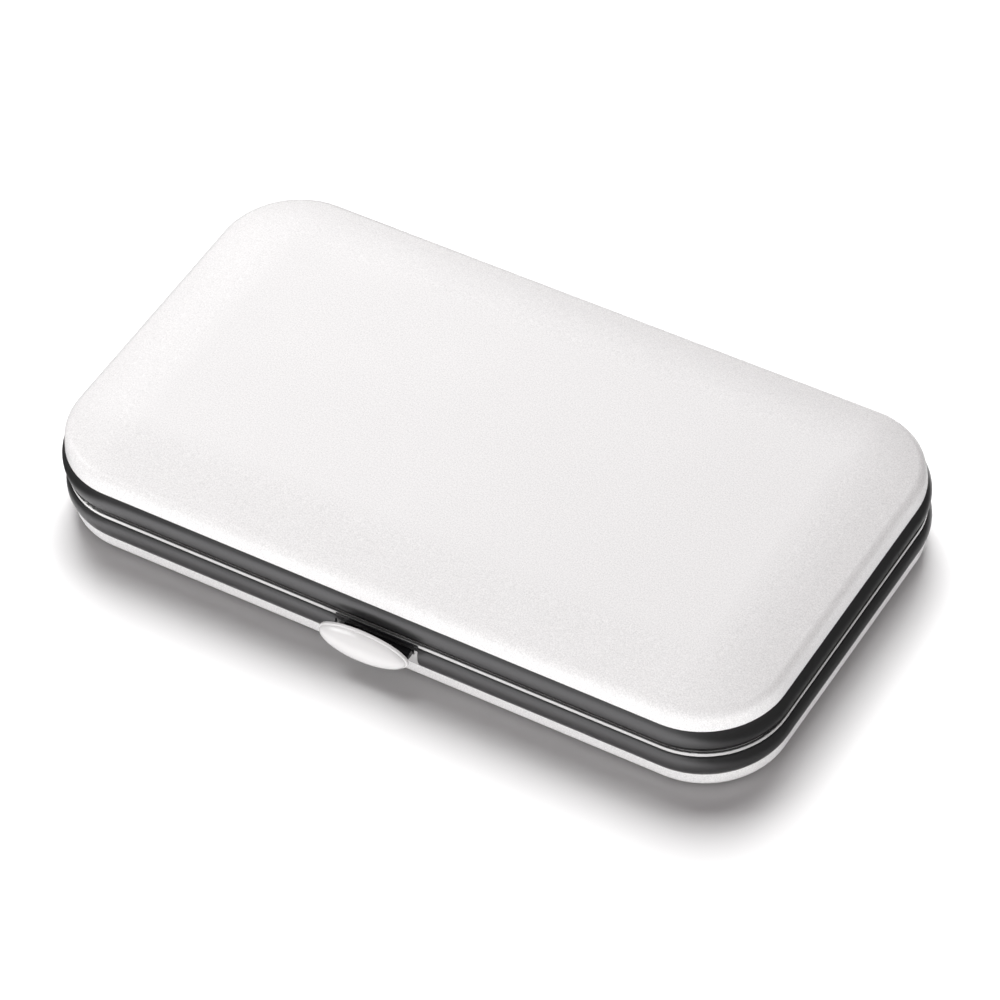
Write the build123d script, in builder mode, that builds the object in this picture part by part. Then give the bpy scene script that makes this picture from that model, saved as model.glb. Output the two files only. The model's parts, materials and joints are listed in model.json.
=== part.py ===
from build123d import *
import os

# Pocket case for a manicure set: two crowned covers in two bulged metal frames, hinged along the
# back and closed by an oval push button at the front, with the tools held in elastic inside.
# Millimetres. The origin is the centre of the flat underside, +X runs along the case,
# -Y is the front with the button, and +Z is up.

# Case outline and the heights of its layers, from the underside up
case_length = 114.0
case_depth = 62.5
corner_radius = 12.3
cover_rise = 3.4
lid_rise = 4.3
lower_frame_height = 3.85
rim_trim_height = 0.75
parting_gap = 0.25
upper_frame_height = 4.0

# Covers
cover_wall = 1.3
cover_panel = 1.2
cover_lean = 0.25
cover_shoulder = 2.75
cover_edge_radius = 1.5
base_crown_reach = 7.0
lid_crown_reach = 12.0
skirt_clearance = 0.05

# Frames
frame_sheet = 0.6
frame_bulge = 0.6
lip_width = 2.4
frame_edge_radius = 0.45
rim_trim_proud = 0.1
rim_trim_round = 0.3

# Hinge along the back
hinge_length = 40.0
knuckle_count = 5
knuckle_gap = 0.2
hinge_stand_off = 1.9
barrel_radius = 1.4
hinge_pin_radius = 0.6
hinge_pin_clearance = 0.05
hinge_pin_head_radius = 1.0
hinge_pin_head_length = 0.4
leaf_thickness = 0.5
leaf_edge_margin = 0.5
leaf_swing_clearance = 0.25

# Rivets
rivet_radius = 0.6
rivet_head_radius = 0.85
rivet_head_height = 0.4
rivet_clearance = 0.03
hinge_rivet_spacing = 14.0
hinge_rivet_count = 3
hinge_rivet_rise = 0.4

# Push button
button_centre_x = -0.5
button_centre_z = 6.8
button_half_width = 7.2
button_half_height = 2.7
button_stand_off = 2.65
button_flange = 0.45
button_dome = 1.9
button_dome_margin = 0.25
button_travel = 1.2
neck_centre_x = 0.2
neck_half_width = 5.45
neck_height = 0.9
neck_bottom_clearance = 0.2
stem_half_width = 3.0
slide_clearance = 0.15

# Clasp pocket in the lower frame
clasp_half_width = 6.65
clasp_depth = 2.2
clasp_back_wall = 0.6
clasp_sill = 1.85
clasp_cheek = 0.75
clasp_cheek_lip = 0.12
clasp_notch_clearance = 0.1

# Catch behind the clasp
keeper_thickness = 0.4
keeper_margin = 1.2
spring_sheet = 0.3
spring_half_width = 3.2
spring_foot_half_width = 5.0
spring_foot_length = 4.6
spring_setback = 4.3
spring_stem_gap = 0.1
catch_lip_reach = 0.95
catch_lip_gap = 0.05
spring_rivet_radius = 0.5
spring_rivet_depth = 0.8
spring_rivet_spacing = 6.0
tongue_half_width = 3.8
tongue_sheet = 0.6
tongue_gap = 0.2
tongue_barb = 0.8
tongue_barb_height = 0.7
tongue_drop = 1.1
tongue_rivet_spacing = 4.4
tongue_rivet_drop = 1.3

# Padded liners
liner_thickness = 1.0
liner_inset = 1.6
liner_edge_radius = 0.45
liner_notch_half_width = 6.0
liner_notch_clearance = 0.6

# Elastic loops
elastic_sheet = 0.6
elastic_width = 8.0
elastic_gap = 0.15
elastic_tail = 2.0

# Nail clipper
clipper_length = 54.0
clipper_width = 12.0
clipper_tail_width = 8.0
clipper_sheet = 1.2
clipper_joined_length = 8.0
clipper_mouth_height = 6.6
clipper_lip_length = 4.5
clipper_bite_gap = 0.4
clipper_centre_x = 24.0
clipper_centre_y = -17.4
clipper_post_radius = 1.9
clipper_post_inset = 9.0
clipper_post_clearance = 0.15
clipper_post_head_radius = 2.6
clipper_post_head = 0.7
clipper_lever_sheet = 1.3
clipper_lever_width = 9.0
clipper_lever_gap = 0.15
clipper_lever_overhang = 3.0
clipper_elastic_x = 8.0

# Slim tools: tweezers, cuticle pusher and nail file, side by side behind the clipper
slim_tool_left = -46.0
tweezer_length = 84.0
tweezer_width = 8.5
tweezer_tip_width = 2.4
tweezer_sheet = 1.0
tweezer_spread = 3.6
tweezer_tip_gap = 0.5
tweezer_joined_length = 12.0
tweezer_y = -4.2
pusher_length = 92.0
pusher_y = 7.0
handle_length = 42.0
handle_width = 7.0
handle_height = 4.2
handle_round = 1.6
tang_width = 3.2
tang_length = 12.0
tang_clearance = 0.05
pusher_radius = 1.5
pusher_spoon_length = 12.0
pusher_spoon_width = 6.0
pusher_spoon_thickness = 1.2
file_length = 90.0
file_y = 18.0
file_width = 6.4
file_thickness = 1.1
slim_elastic_left_x = -30.0
slim_elastic_right_x = 18.0

# Scissors under the lid, blades towards +X
scissor_pivot_x = 8.0
scissor_pivot_y = 8.6
scissor_thickness = 2.8
scissor_liner_gap = 0.25
scissor_half_gap = 0.02
scissor_blade_length = 33.0
scissor_blade_width = 4.6
scissor_tip_width = 0.8
scissor_hub_radius = 4.8
scissor_lap_radius = 6.5
scissor_shank_length = 30.0
scissor_shank_width = 3.4
scissor_ring_length = 25.0
scissor_ring_width = 18.4
scissor_ring_bar = 2.7
scissor_ring_gap = 0.3
scissor_screw_radius = 1.4
scissor_screw_clearance = 0.05
scissor_screw_head_radius = 2.5
scissor_screw_head = 0.7
scissor_elastic_width = 11.0
scissor_elastic_clearance = 1.7

# Heights and half sizes worked out from the values above
half_depth = case_depth / 2
bottom_seam_z = cover_rise
rim_z = bottom_seam_z + lower_frame_height
rim_top_z = rim_z + rim_trim_height
lid_z = rim_top_z + parting_gap
top_seam_z = lid_z + upper_frame_height
case_height = top_seam_z + lid_rise
lower_mid_z = (bottom_seam_z + rim_z) / 2
upper_mid_z = (lid_z + top_seam_z) / 2
lower_rivet_z = lower_mid_z - hinge_rivet_rise
upper_rivet_z = upper_mid_z + hinge_rivet_rise
skirt_inset = frame_sheet + skirt_clearance
skirt_depth_lower = lower_frame_height - frame_sheet - skirt_clearance
skirt_depth_upper = upper_frame_height - frame_sheet - skirt_clearance
base_floor_z = cover_panel
lid_ceiling_z = top_seam_z + cover_rise - cover_panel
liner_top_z = base_floor_z + liner_thickness
lid_liner_z = lid_ceiling_z - liner_thickness
hinge_y = half_depth + hinge_stand_off
hinge_z = rim_top_z + parting_gap / 2
front_y = -half_depth

# Clasp and catch planes, worked out from the front of the outline inwards
clasp_back_y = front_y + clasp_depth
clasp_pocket_y = clasp_back_y - clasp_back_wall
button_back_y = front_y - button_stand_off
clasp_sill_z = bottom_seam_z + clasp_sill
neck_bottom_z = clasp_sill_z + neck_bottom_clearance
neck_top_z = neck_bottom_z + neck_height
neck_left_x = neck_centre_x - neck_half_width
neck_right_x = neck_centre_x + neck_half_width
neck_end_y = clasp_pocket_y - button_travel - slide_clearance
stem_end_y = front_y + spring_setback - spring_stem_gap
spring_y = front_y + spring_setback
tongue_front_y = front_y + lip_width + tongue_gap
tongue_back_y = tongue_front_y + tongue_sheet
tongue_bottom_z = rim_top_z - tongue_drop
barb_top_z = tongue_bottom_z + tongue_barb_height
tongue_rivet_z = top_seam_z - tongue_rivet_drop
catch_lip_z = barb_top_z + catch_lip_gap
scissor_top_z = lid_liner_z - scissor_liner_gap
scissor_bottom_z = scissor_top_z - scissor_thickness

os.makedirs("parts", exist_ok=True)


def outline(inset):
    """Rounded rectangle of the case outline, drawn in by inset."""
    RectangleRounded(case_length - 2 * inset, case_depth - 2 * inset, corner_radius - inset)


def slab(inset, low_z, high_z, mode=Mode.ADD):
    """Flat slab of the outline's shape between two heights."""
    with BuildSketch(Plane.XY.offset(low_z)) as shape:
        outline(inset)
    extrude(shape.sketch, amount=high_z - low_z, mode=mode)


def ring_path():
    """The case outline as a path that starts at the middle of the back."""
    side_run = case_depth - 2 * corner_radius
    front_run = case_length - 2 * corner_radius
    with BuildLine() as path:
        run = Line((0, half_depth), (-front_run / 2, half_depth))
        for length in (side_run, front_run, side_run, front_run / 2):
            bend = JernArc(run @ 1, run % 1, corner_radius, 90)
            run = Line(bend @ 1, bend @ 1 + (bend % 1) * length)
    return path.wire()


def sweep_round(section):
    """Carry a section drawn at the back once round the case."""
    sweep(section.sketch, path=ring_path())


def block(low, high, mode=Mode.ADD):
    """Box between two opposite corners."""
    with Locations(((low[0] + high[0]) / 2, (low[1] + high[1]) / 2, (low[2] + high[2]) / 2)):
        Box(high[0] - low[0], high[1] - low[1], high[2] - low[2], mode=mode)


def cover(seam_z, crown_z, crown_reach, ceiling_z, skirt_depth):
    """Crowned cover over a flat ceiling, with a skirt that plugs into its frame."""
    up = 1 if crown_z > seam_z else -1
    with BuildSketch(Plane.YZ) as section:
        with BuildLine():
            wall = Line((half_depth, seam_z), (half_depth - cover_lean, seam_z + up * cover_shoulder))
            crown = TangentArc((half_depth - crown_reach, crown_z), wall @ 1, tangent=(1, 0))
            Polyline(crown @ 0, (half_depth - crown_reach, seam_z), wall @ 0)
        make_face()
        shoulder = section.vertices().sort_by_distance((half_depth, seam_z + up * cover_shoulder))[0]
        fillet(shoulder, radius=cover_edge_radius)
    sweep_round(section)
    slab(crown_reach, min(seam_z, crown_z), max(seam_z, crown_z))
    skirt_end_z = seam_z - up * skirt_depth
    slab(skirt_inset, min(seam_z, skirt_end_z), max(seam_z, skirt_end_z))
    slab(cover_wall, min(ceiling_z, skirt_end_z), max(ceiling_z, skirt_end_z), mode=Mode.SUBTRACT)


def frame_band(seam_z, edge_z):
    """Frame band: a bulged wall with a lip along its mating edge, swept round the case."""
    inward = 1 if seam_z > edge_z else -1
    mid_z = (seam_z + edge_z) / 2
    lip_z = edge_z + inward * frame_sheet
    with BuildSketch(Plane.YZ) as section:
        with BuildLine():
            outer = ThreePointArc(
                (half_depth, seam_z),
                (half_depth + frame_bulge, mid_z),
                (half_depth, edge_z),
            )
            inner = ThreePointArc(
                (half_depth - frame_sheet, lip_z),
                (half_depth - frame_sheet + frame_bulge, mid_z),
                (half_depth - frame_sheet, seam_z),
            )
            Polyline(
                outer @ 1,
                (half_depth - lip_width, edge_z),
                (half_depth - lip_width, lip_z),
                inner @ 0,
            )
            Line(inner @ 1, outer @ 0)
        make_face()
        corner = section.vertices().sort_by_distance((half_depth, edge_z))[0]
        fillet(corner, radius=frame_edge_radius)
    sweep_round(section)


def cylinder_y(x, z, y_from, y_to, radius, mode=Mode.ADD):
    """Round bar or hole along Y between two depths."""
    with BuildSketch(Plane.XZ.offset(-min(y_from, y_to))) as end:
        with Locations((x, z)):
            Circle(radius)
    extrude(end.sketch, amount=-abs(y_to - y_from), mode=mode)


def hinge_rod(x_from, x_to, radius, mode=Mode.ADD):
    """Round bar or hole on the hinge axis between two places along X."""
    with BuildSketch(Plane.YZ.offset(x_from)) as end:
        with Locations((hinge_y, hinge_z)):
            Circle(radius)
    extrude(end.sketch, amount=x_to - x_from, mode=mode)


def hinge_rivet_xs():
    first = -hinge_rivet_spacing * (hinge_rivet_count - 1) / 2
    return [first + index * hinge_rivet_spacing for index in range(hinge_rivet_count)]


def hinge_rivet_holes(z):
    """Holes for one leaf's rivets, through leaf, frame and skirt."""
    for x in hinge_rivet_xs():
        cylinder_y(
            x,
            z,
            half_depth - cover_wall - rivet_head_height,
            half_depth + frame_bulge + leaf_thickness,
            rivet_radius + rivet_clearance,
            mode=Mode.SUBTRACT,
        )


def hinge_rivets(z):
    """Rivets of one leaf, headed outside the leaf and inside the cover's skirt."""
    outer_y = half_depth + frame_bulge + leaf_thickness
    inner_y = half_depth - cover_wall
    for x in hinge_rivet_xs():
        cylinder_y(x, z, inner_y - rivet_head_height, outer_y + rivet_head_height, rivet_radius)
        cylinder_y(x, z, outer_y, outer_y + rivet_head_height, rivet_head_radius)
        cylinder_y(x, z, inner_y - rivet_head_height, inner_y, rivet_head_radius)


def knuckle_spans(first):
    """Spans along X of every second knuckle, counted from the left end."""
    pitch = hinge_length / knuckle_count
    start = -hinge_length / 2
    return [
        (start + index * pitch + knuckle_gap / 2, start + (index + 1) * pitch - knuckle_gap / 2)
        for index in range(first, knuckle_count, 2)
    ]


def hinge_leaf(seam_z, edge_z, first_knuckle):
    """Leaf that hugs a frame's wall, with its knuckles round the hinge axis."""
    up = 1 if seam_z > edge_z else -1
    far_z = seam_z - up * leaf_edge_margin
    outer_y = half_depth + frame_bulge + leaf_thickness
    mid_z = (seam_z + edge_z) / 2
    with BuildSketch(Plane.YZ.offset(-hinge_length / 2)) as section:
        with BuildLine():
            wall = ThreePointArc(
                (half_depth, edge_z),
                (half_depth + frame_bulge, mid_z),
                (half_depth, seam_z),
            )
            Polyline(
                wall @ 1,
                (outer_y, seam_z),
                (outer_y, hinge_z),
                (half_depth + rim_trim_proud, hinge_z),
                (half_depth + rim_trim_proud, edge_z),
                wall @ 0,
            )
        make_face()
        with Locations((half_depth, (far_z + seam_z) / 2)):
            Rectangle(4 * (frame_bulge + leaf_thickness), abs(seam_z - far_z), mode=Mode.SUBTRACT)
    extrude(section.sketch, amount=hinge_length)
    for low_x, high_x in knuckle_spans(1 - first_knuckle):
        swing_radius = barrel_radius + leaf_swing_clearance
        hinge_rod(low_x - knuckle_gap, high_x + knuckle_gap, swing_radius, mode=Mode.SUBTRACT)
    for low_x, high_x in knuckle_spans(first_knuckle):
        hinge_rod(low_x, high_x, barrel_radius)
    bore_radius = hinge_pin_radius + hinge_pin_clearance
    hinge_rod(-hinge_length / 2, hinge_length / 2, bore_radius, mode=Mode.SUBTRACT)
    hinge_rivet_holes(mid_z + up * hinge_rivet_rise)


# Covers
with BuildPart() as bottom_cover:
    cover(bottom_seam_z, 0, base_crown_reach, base_floor_z, skirt_depth_lower)
    block(
        (-clasp_half_width - clasp_notch_clearance, front_y, bottom_seam_z),
        (clasp_half_width + clasp_notch_clearance, front_y + 2 * cover_wall, rim_z),
        mode=Mode.SUBTRACT,
    )
    hinge_rivet_holes(lower_rivet_z)
    with BuildSketch(Plane.XY.offset(base_floor_z)):
        with Locations((0, spring_y + spring_foot_length / 2)):
            with GridLocations(spring_rivet_spacing, 0, 2, 1):
                Circle(spring_rivet_radius)
    extrude(amount=-spring_rivet_depth, mode=Mode.SUBTRACT)
bottom_cover.part.label = "bottom_cover"
export_step(bottom_cover.part, "parts/bottom_cover.step")

with BuildPart() as top_cover:
    cover(top_seam_z, case_height, lid_crown_reach, lid_ceiling_z, skirt_depth_upper)
    hinge_rivet_holes(upper_rivet_z)
    for rivet_x in (-tongue_rivet_spacing / 2, tongue_rivet_spacing / 2):
        cylinder_y(
            rivet_x,
            tongue_rivet_z,
            front_y + skirt_inset,
            front_y + cover_wall,
            spring_rivet_radius + rivet_clearance,
            mode=Mode.SUBTRACT,
        )
top_cover.part.label = "top_cover"
export_step(top_cover.part, "parts/top_cover.step")

# Frames
with BuildPart() as lower_frame:
    frame_band(bottom_seam_z, rim_z)
    block(
        (-clasp_half_width, front_y - 2 * frame_bulge, bottom_seam_z),
        (clasp_half_width, front_y + frame_sheet, rim_z - frame_sheet),
        mode=Mode.SUBTRACT,
    )
    hinge_rivet_holes(lower_rivet_z)
lower_frame.part.label = "lower_frame"
export_step(lower_frame.part, "parts/lower_frame.step")

with BuildPart() as upper_frame:
    frame_band(top_seam_z, lid_z)
    hinge_rivet_holes(upper_rivet_z)
upper_frame.part.label = "upper_frame"
export_step(upper_frame.part, "parts/upper_frame.step")

with BuildPart() as rim_trim:
    with BuildSketch(Plane.YZ) as rim_section:
        with Locations((half_depth - (lip_width - rim_trim_proud) / 2, (rim_z + rim_top_z) / 2)):
            Rectangle(lip_width + rim_trim_proud, rim_trim_height)
        fillet(rim_section.vertices().group_by(Axis.Y)[-1], radius=rim_trim_round)
    sweep_round(rim_section)
rim_trim.part.label = "rim_trim"
export_step(rim_trim.part, "parts/rim_trim.step")

# Hinge
with BuildPart() as lower_hinge_leaf:
    hinge_leaf(bottom_seam_z, rim_z, 0)
lower_hinge_leaf.part.label = "lower_hinge_leaf"
export_step(lower_hinge_leaf.part, "parts/lower_hinge_leaf.step")

with BuildPart() as upper_hinge_leaf:
    hinge_leaf(top_seam_z, lid_z, 1)
upper_hinge_leaf.part.label = "upper_hinge_leaf"
export_step(upper_hinge_leaf.part, "parts/upper_hinge_leaf.step")

with BuildPart() as lower_hinge_rivets:
    hinge_rivets(lower_rivet_z)
lower_hinge_rivets.part.label = "lower_hinge_rivets"
export_step(lower_hinge_rivets.part, "parts/lower_hinge_rivets.step")

with BuildPart() as upper_hinge_rivets:
    hinge_rivets(upper_rivet_z)
upper_hinge_rivets.part.label = "upper_hinge_rivets"
export_step(upper_hinge_rivets.part, "parts/upper_hinge_rivets.step")

with BuildPart() as hinge_pin:
    pin_end_x = hinge_length / 2
    hinge_rod(-pin_end_x, pin_end_x, hinge_pin_radius)
    hinge_rod(-pin_end_x - hinge_pin_head_length, -pin_end_x, hinge_pin_head_radius)
    hinge_rod(pin_end_x, pin_end_x + hinge_pin_head_length, hinge_pin_head_radius)
hinge_pin.part.label = "hinge_pin"
export_step(hinge_pin.part, "parts/hinge_pin.step")

# Clasp: a bright plate in the frame's window, slotted for the neck of the oval push button
with BuildPart() as clasp_plate:
    plate_top_z = rim_z - frame_sheet
    block(
        (-clasp_half_width, front_y, bottom_seam_z),
        (clasp_half_width, clasp_back_y, plate_top_z),
    )
    with BuildSketch(Plane.XY.offset(clasp_sill_z)) as clasp_slot:
        Polygon(
            (-clasp_half_width + clasp_cheek_lip, front_y),
            (neck_right_x + slide_clearance, front_y),
            (neck_right_x + slide_clearance, clasp_pocket_y),
            (-clasp_half_width + clasp_cheek, clasp_pocket_y),
            align=None,
        )
    extrude(clasp_slot.sketch, amount=plate_top_z - clasp_sill_z, mode=Mode.SUBTRACT)
    block(
        (button_centre_x - stem_half_width - slide_clearance, clasp_pocket_y, neck_bottom_z - slide_clearance),
        (button_centre_x + stem_half_width + slide_clearance, clasp_back_y, plate_top_z),
        mode=Mode.SUBTRACT,
    )
clasp_plate.part.label = "clasp_plate"
export_step(clasp_plate.part, "parts/clasp_plate.step")

with BuildPart() as button_dome_form:
    Sphere(1)
    split(bisect_by=Plane.XZ, keep=Keep.TOP)
    scale(by=(
        button_half_width - button_dome_margin,
        button_dome,
        button_half_height - button_dome_margin,
    ))

with BuildPart() as push_button:
    with BuildSketch(Plane.XZ.offset(-button_back_y)) as button_oval:
        with Locations((button_centre_x, button_centre_z)):
            Ellipse(button_half_width, button_half_height)
    extrude(button_oval.sketch, amount=button_flange)
    fillet(push_button.edges().group_by(Axis.Y)[0], radius=button_flange / 3)
    with Locations((button_centre_x, button_back_y - button_flange, button_centre_z)):
        add(button_dome_form.part)
push_button.part.label = "push_button"
export_step(push_button.part, "parts/push_button.step")

with BuildPart() as button_slide:
    block((neck_left_x, button_back_y, neck_bottom_z), (neck_right_x, neck_end_y, neck_top_z))
    block(
        (button_centre_x - stem_half_width, neck_end_y, neck_bottom_z),
        (button_centre_x + stem_half_width, stem_end_y, neck_top_z),
    )
button_slide.part.label = "button_slide"
export_step(button_slide.part, "parts/button_slide.step")

with BuildPart() as slide_keeper:
    block(
        (button_centre_x - stem_half_width - keeper_margin, clasp_back_y, neck_bottom_z - keeper_margin),
        (button_centre_x + stem_half_width + keeper_margin, clasp_back_y + keeper_thickness, neck_top_z),
    )
    block(
        (button_centre_x - stem_half_width, clasp_back_y, neck_bottom_z),
        (button_centre_x + stem_half_width, clasp_back_y + keeper_thickness, neck_top_z),
        mode=Mode.SUBTRACT,
    )
slide_keeper.part.label = "slide_keeper"
export_step(slide_keeper.part, "parts/slide_keeper.step")

with BuildPart() as catch_spring:
    block(
        (-spring_foot_half_width, spring_y, base_floor_z),
        (spring_foot_half_width, spring_y + spring_foot_length, base_floor_z + spring_sheet),
    )
    block(
        (-spring_half_width, spring_y, base_floor_z),
        (spring_half_width, spring_y + spring_sheet, catch_lip_z + spring_sheet),
    )
    block(
        (-spring_half_width, spring_y - catch_lip_reach, catch_lip_z),
        (spring_half_width, spring_y, catch_lip_z + spring_sheet),
    )
    with BuildSketch(Plane.XY.offset(base_floor_z)):
        with Locations((0, spring_y + spring_foot_length / 2)):
            with GridLocations(spring_rivet_spacing, 0, 2, 1):
                Circle(spring_rivet_radius + rivet_clearance)
    extrude(amount=spring_sheet, mode=Mode.SUBTRACT)
catch_spring.part.label = "catch_spring"
export_step(catch_spring.part, "parts/catch_spring.step")

with BuildPart() as catch_spring_rivets:
    with BuildSketch(Plane.XY.offset(base_floor_z - spring_rivet_depth)):
        with Locations((0, spring_y + spring_foot_length / 2)):
            with GridLocations(spring_rivet_spacing, 0, 2, 1):
                Circle(spring_rivet_radius)
    extrude(amount=spring_rivet_depth + spring_sheet)
    with BuildSketch(Plane.XY.offset(base_floor_z + spring_sheet)):
        with Locations((0, spring_y + spring_foot_length / 2)):
            with GridLocations(spring_rivet_spacing, 0, 2, 1):
                Circle(rivet_head_radius)
    extrude(amount=rivet_head_height)
catch_spring_rivets.part.label = "catch_spring_rivets"
export_step(catch_spring_rivets.part, "parts/catch_spring_rivets.step")

with BuildPart() as latch_tongue:
    shelf_z = lid_z + frame_sheet + tongue_gap
    with BuildSketch(Plane.YZ.offset(-tongue_half_width)):
        with BuildLine():
            Polyline(
                (front_y + cover_wall, top_seam_z),
                (front_y + cover_wall + tongue_sheet, top_seam_z),
                (front_y + cover_wall + tongue_sheet, shelf_z + tongue_sheet),
                (tongue_back_y, shelf_z + tongue_sheet),
                (tongue_back_y, barb_top_z),
                (tongue_back_y + tongue_barb, barb_top_z),
                (tongue_back_y, tongue_bottom_z),
                (tongue_front_y, tongue_bottom_z),
                (tongue_front_y, shelf_z),
                (front_y + cover_wall, shelf_z),
                close=True,
            )
        make_face()
    extrude(amount=2 * tongue_half_width)
    for rivet_x in (-tongue_rivet_spacing / 2, tongue_rivet_spacing / 2):
        cylinder_y(
            rivet_x,
            tongue_rivet_z,
            front_y + cover_wall,
            front_y + cover_wall + tongue_sheet,
            spring_rivet_radius + rivet_clearance,
            mode=Mode.SUBTRACT,
        )
latch_tongue.part.label = "latch_tongue"
export_step(latch_tongue.part, "parts/latch_tongue.step")

with BuildPart() as tongue_rivets:
    for rivet_x in (-tongue_rivet_spacing / 2, tongue_rivet_spacing / 2):
        tail_y = front_y + cover_wall + tongue_sheet + rivet_head_height
        head_y = front_y + skirt_inset - rivet_head_height
        cylinder_y(rivet_x, tongue_rivet_z, head_y, tail_y, spring_rivet_radius)
        cylinder_y(rivet_x, tongue_rivet_z, tail_y - rivet_head_height, tail_y, rivet_head_radius)
        cylinder_y(rivet_x, tongue_rivet_z, head_y, head_y + rivet_head_height, rivet_head_radius)
tongue_rivets.part.label = "tongue_rivets"
export_step(tongue_rivets.part, "parts/tongue_rivets.step")

# Padded liners
with BuildPart() as base_liner:
    slab(liner_inset, base_floor_z, liner_top_z)
    fillet(base_liner.faces().sort_by(Axis.Z)[-1].edges(), radius=liner_edge_radius)
    block(
        (-liner_notch_half_width, front_y, base_floor_z),
        (liner_notch_half_width, spring_y + spring_foot_length + liner_notch_clearance, liner_top_z),
        mode=Mode.SUBTRACT,
    )
base_liner.part.label = "base_liner"
export_step(base_liner.part, "parts/base_liner.step")

with BuildPart() as lid_liner:
    slab(liner_inset, lid_liner_z, lid_ceiling_z)
    fillet(lid_liner.faces().sort_by(Axis.Z)[0].edges(), radius=liner_edge_radius)
lid_liner.part.label = "lid_liner"
export_step(lid_liner.part, "parts/lid_liner.step")

# Nail clipper, lying at the right of the front
clipper_tail_x = clipper_centre_x - clipper_length / 2
clipper_bite_x = clipper_centre_x + clipper_length / 2
clipper_bend_x = clipper_bite_x - clipper_lip_length
clipper_joint_x = clipper_tail_x + clipper_joined_length
clipper_top_z = liner_top_z + clipper_mouth_height
clipper_bite_z = liner_top_z + clipper_mouth_height / 2
clipper_tail_z = liner_top_z + 2 * clipper_sheet
clipper_slope = (clipper_top_z - clipper_tail_z) / (clipper_bend_x - clipper_joint_x)
clipper_post_x = clipper_bite_x - clipper_post_inset
clipper_post_top_z = clipper_tail_z + clipper_slope * (clipper_post_x - clipper_joint_x)
clipper_lever_z = clipper_tail_z + clipper_lever_gap
clipper_lever_end_x = clipper_post_x + clipper_lever_width / 2


def side_profile(points, y, width):
    """Strip with the side view given by points, centred on y."""
    with BuildSketch(Plane.XZ.offset(-y)) as side:
        Polygon(*points, align=None)
    extrude(side.sketch, amount=width / 2, both=True)


def trim_to_plan(points, y):
    """Keep what lies inside a plan outline given by points about y."""
    with BuildSketch(Plane.XY) as plan:
        with Locations((0, y)):
            Polygon(*points, align=None)
    extrude(plan.sketch, amount=case_height, mode=Mode.INTERSECT)


def clipper_plan():
    trim_to_plan(
        (
            (clipper_tail_x, -clipper_tail_width / 2),
            (clipper_bend_x, -clipper_width / 2),
            (clipper_bite_x, -clipper_width / 2 + clipper_sheet),
            (clipper_bite_x, clipper_width / 2 - clipper_sheet),
            (clipper_bend_x, clipper_width / 2),
            (clipper_tail_x, clipper_tail_width / 2),
        ),
        clipper_centre_y,
    )


def clipper_post_hole():
    with BuildSketch(Plane.XY.offset(liner_top_z)) as hole:
        with Locations((clipper_post_x, clipper_centre_y)):
            Circle(clipper_post_radius + clipper_post_clearance)
    extrude(hole.sketch, amount=case_height, mode=Mode.SUBTRACT)


with BuildPart() as clipper_lower_jaw:
    side_profile(
        (
            (clipper_tail_x, liner_top_z),
            (clipper_bend_x, liner_top_z),
            (clipper_bite_x, clipper_bite_z - clipper_bite_gap),
            (clipper_bite_x - clipper_sheet, clipper_bite_z - clipper_bite_gap / 2),
            (clipper_bend_x - clipper_sheet / 2, liner_top_z + clipper_sheet),
            (clipper_tail_x, liner_top_z + clipper_sheet),
        ),
        clipper_centre_y,
        clipper_width,
    )
    clipper_plan()
    clipper_post_hole()
clipper_lower_jaw.part.label = "clipper_lower_jaw"
export_step(clipper_lower_jaw.part, "parts/clipper_lower_jaw.step")

with BuildPart() as clipper_upper_jaw:
    side_profile(
        (
            (clipper_tail_x, liner_top_z + clipper_sheet),
            (clipper_joint_x, liner_top_z + clipper_sheet),
            (clipper_bend_x - clipper_sheet / 2, clipper_top_z - clipper_sheet),
            (clipper_bite_x - clipper_sheet, clipper_bite_z + clipper_bite_gap / 2),
            (clipper_bite_x, clipper_bite_z + clipper_bite_gap),
            (clipper_bend_x, clipper_top_z),
            (clipper_joint_x, clipper_tail_z),
            (clipper_tail_x, clipper_tail_z),
        ),
        clipper_centre_y,
        clipper_width,
    )
    clipper_plan()
    clipper_post_hole()
clipper_upper_jaw.part.label = "clipper_upper_jaw"
export_step(clipper_upper_jaw.part, "parts/clipper_upper_jaw.step")

with BuildPart() as clipper_lever:
    lever_tail_x = clipper_tail_x - clipper_lever_overhang
    lever_end_z = clipper_lever_z + clipper_slope * (clipper_lever_end_x - clipper_joint_x)
    side_profile(
        (
            (lever_tail_x, clipper_lever_z + clipper_lever_sheet / 2),
            (clipper_tail_x, clipper_lever_z),
            (clipper_joint_x, clipper_lever_z),
            (clipper_lever_end_x, lever_end_z),
            (clipper_lever_end_x, lever_end_z + clipper_lever_sheet),
            (clipper_joint_x, clipper_lever_z + clipper_lever_sheet),
            (clipper_tail_x, clipper_lever_z + clipper_lever_sheet),
            (lever_tail_x, clipper_lever_z + 1.5 * clipper_lever_sheet),
        ),
        clipper_centre_y,
        clipper_lever_width,
    )
    clipper_post_hole()
    fillet(clipper_lever.edges().filter_by(Axis.Z).group_by(Axis.X)[0], radius=clipper_lever_width / 4)
clipper_lever.part.label = "clipper_lever"
export_step(clipper_lever.part, "parts/clipper_lever.step")

with BuildPart() as clipper_post:
    post_head_z = clipper_post_top_z + clipper_lever_gap + clipper_lever_sheet
    post_head_z = post_head_z + clipper_slope * clipper_post_head_radius
    with BuildSketch(Plane.XY.offset(liner_top_z)):
        with Locations((clipper_post_x, clipper_centre_y)):
            Circle(clipper_post_radius)
    extrude(amount=post_head_z - liner_top_z)
    with BuildSketch(Plane.XY.offset(post_head_z)):
        with Locations((clipper_post_x, clipper_centre_y)):
            Circle(clipper_post_head_radius)
    extrude(amount=clipper_post_head)
clipper_post.part.label = "clipper_post"
export_step(clipper_post.part, "parts/clipper_post.step")

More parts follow.
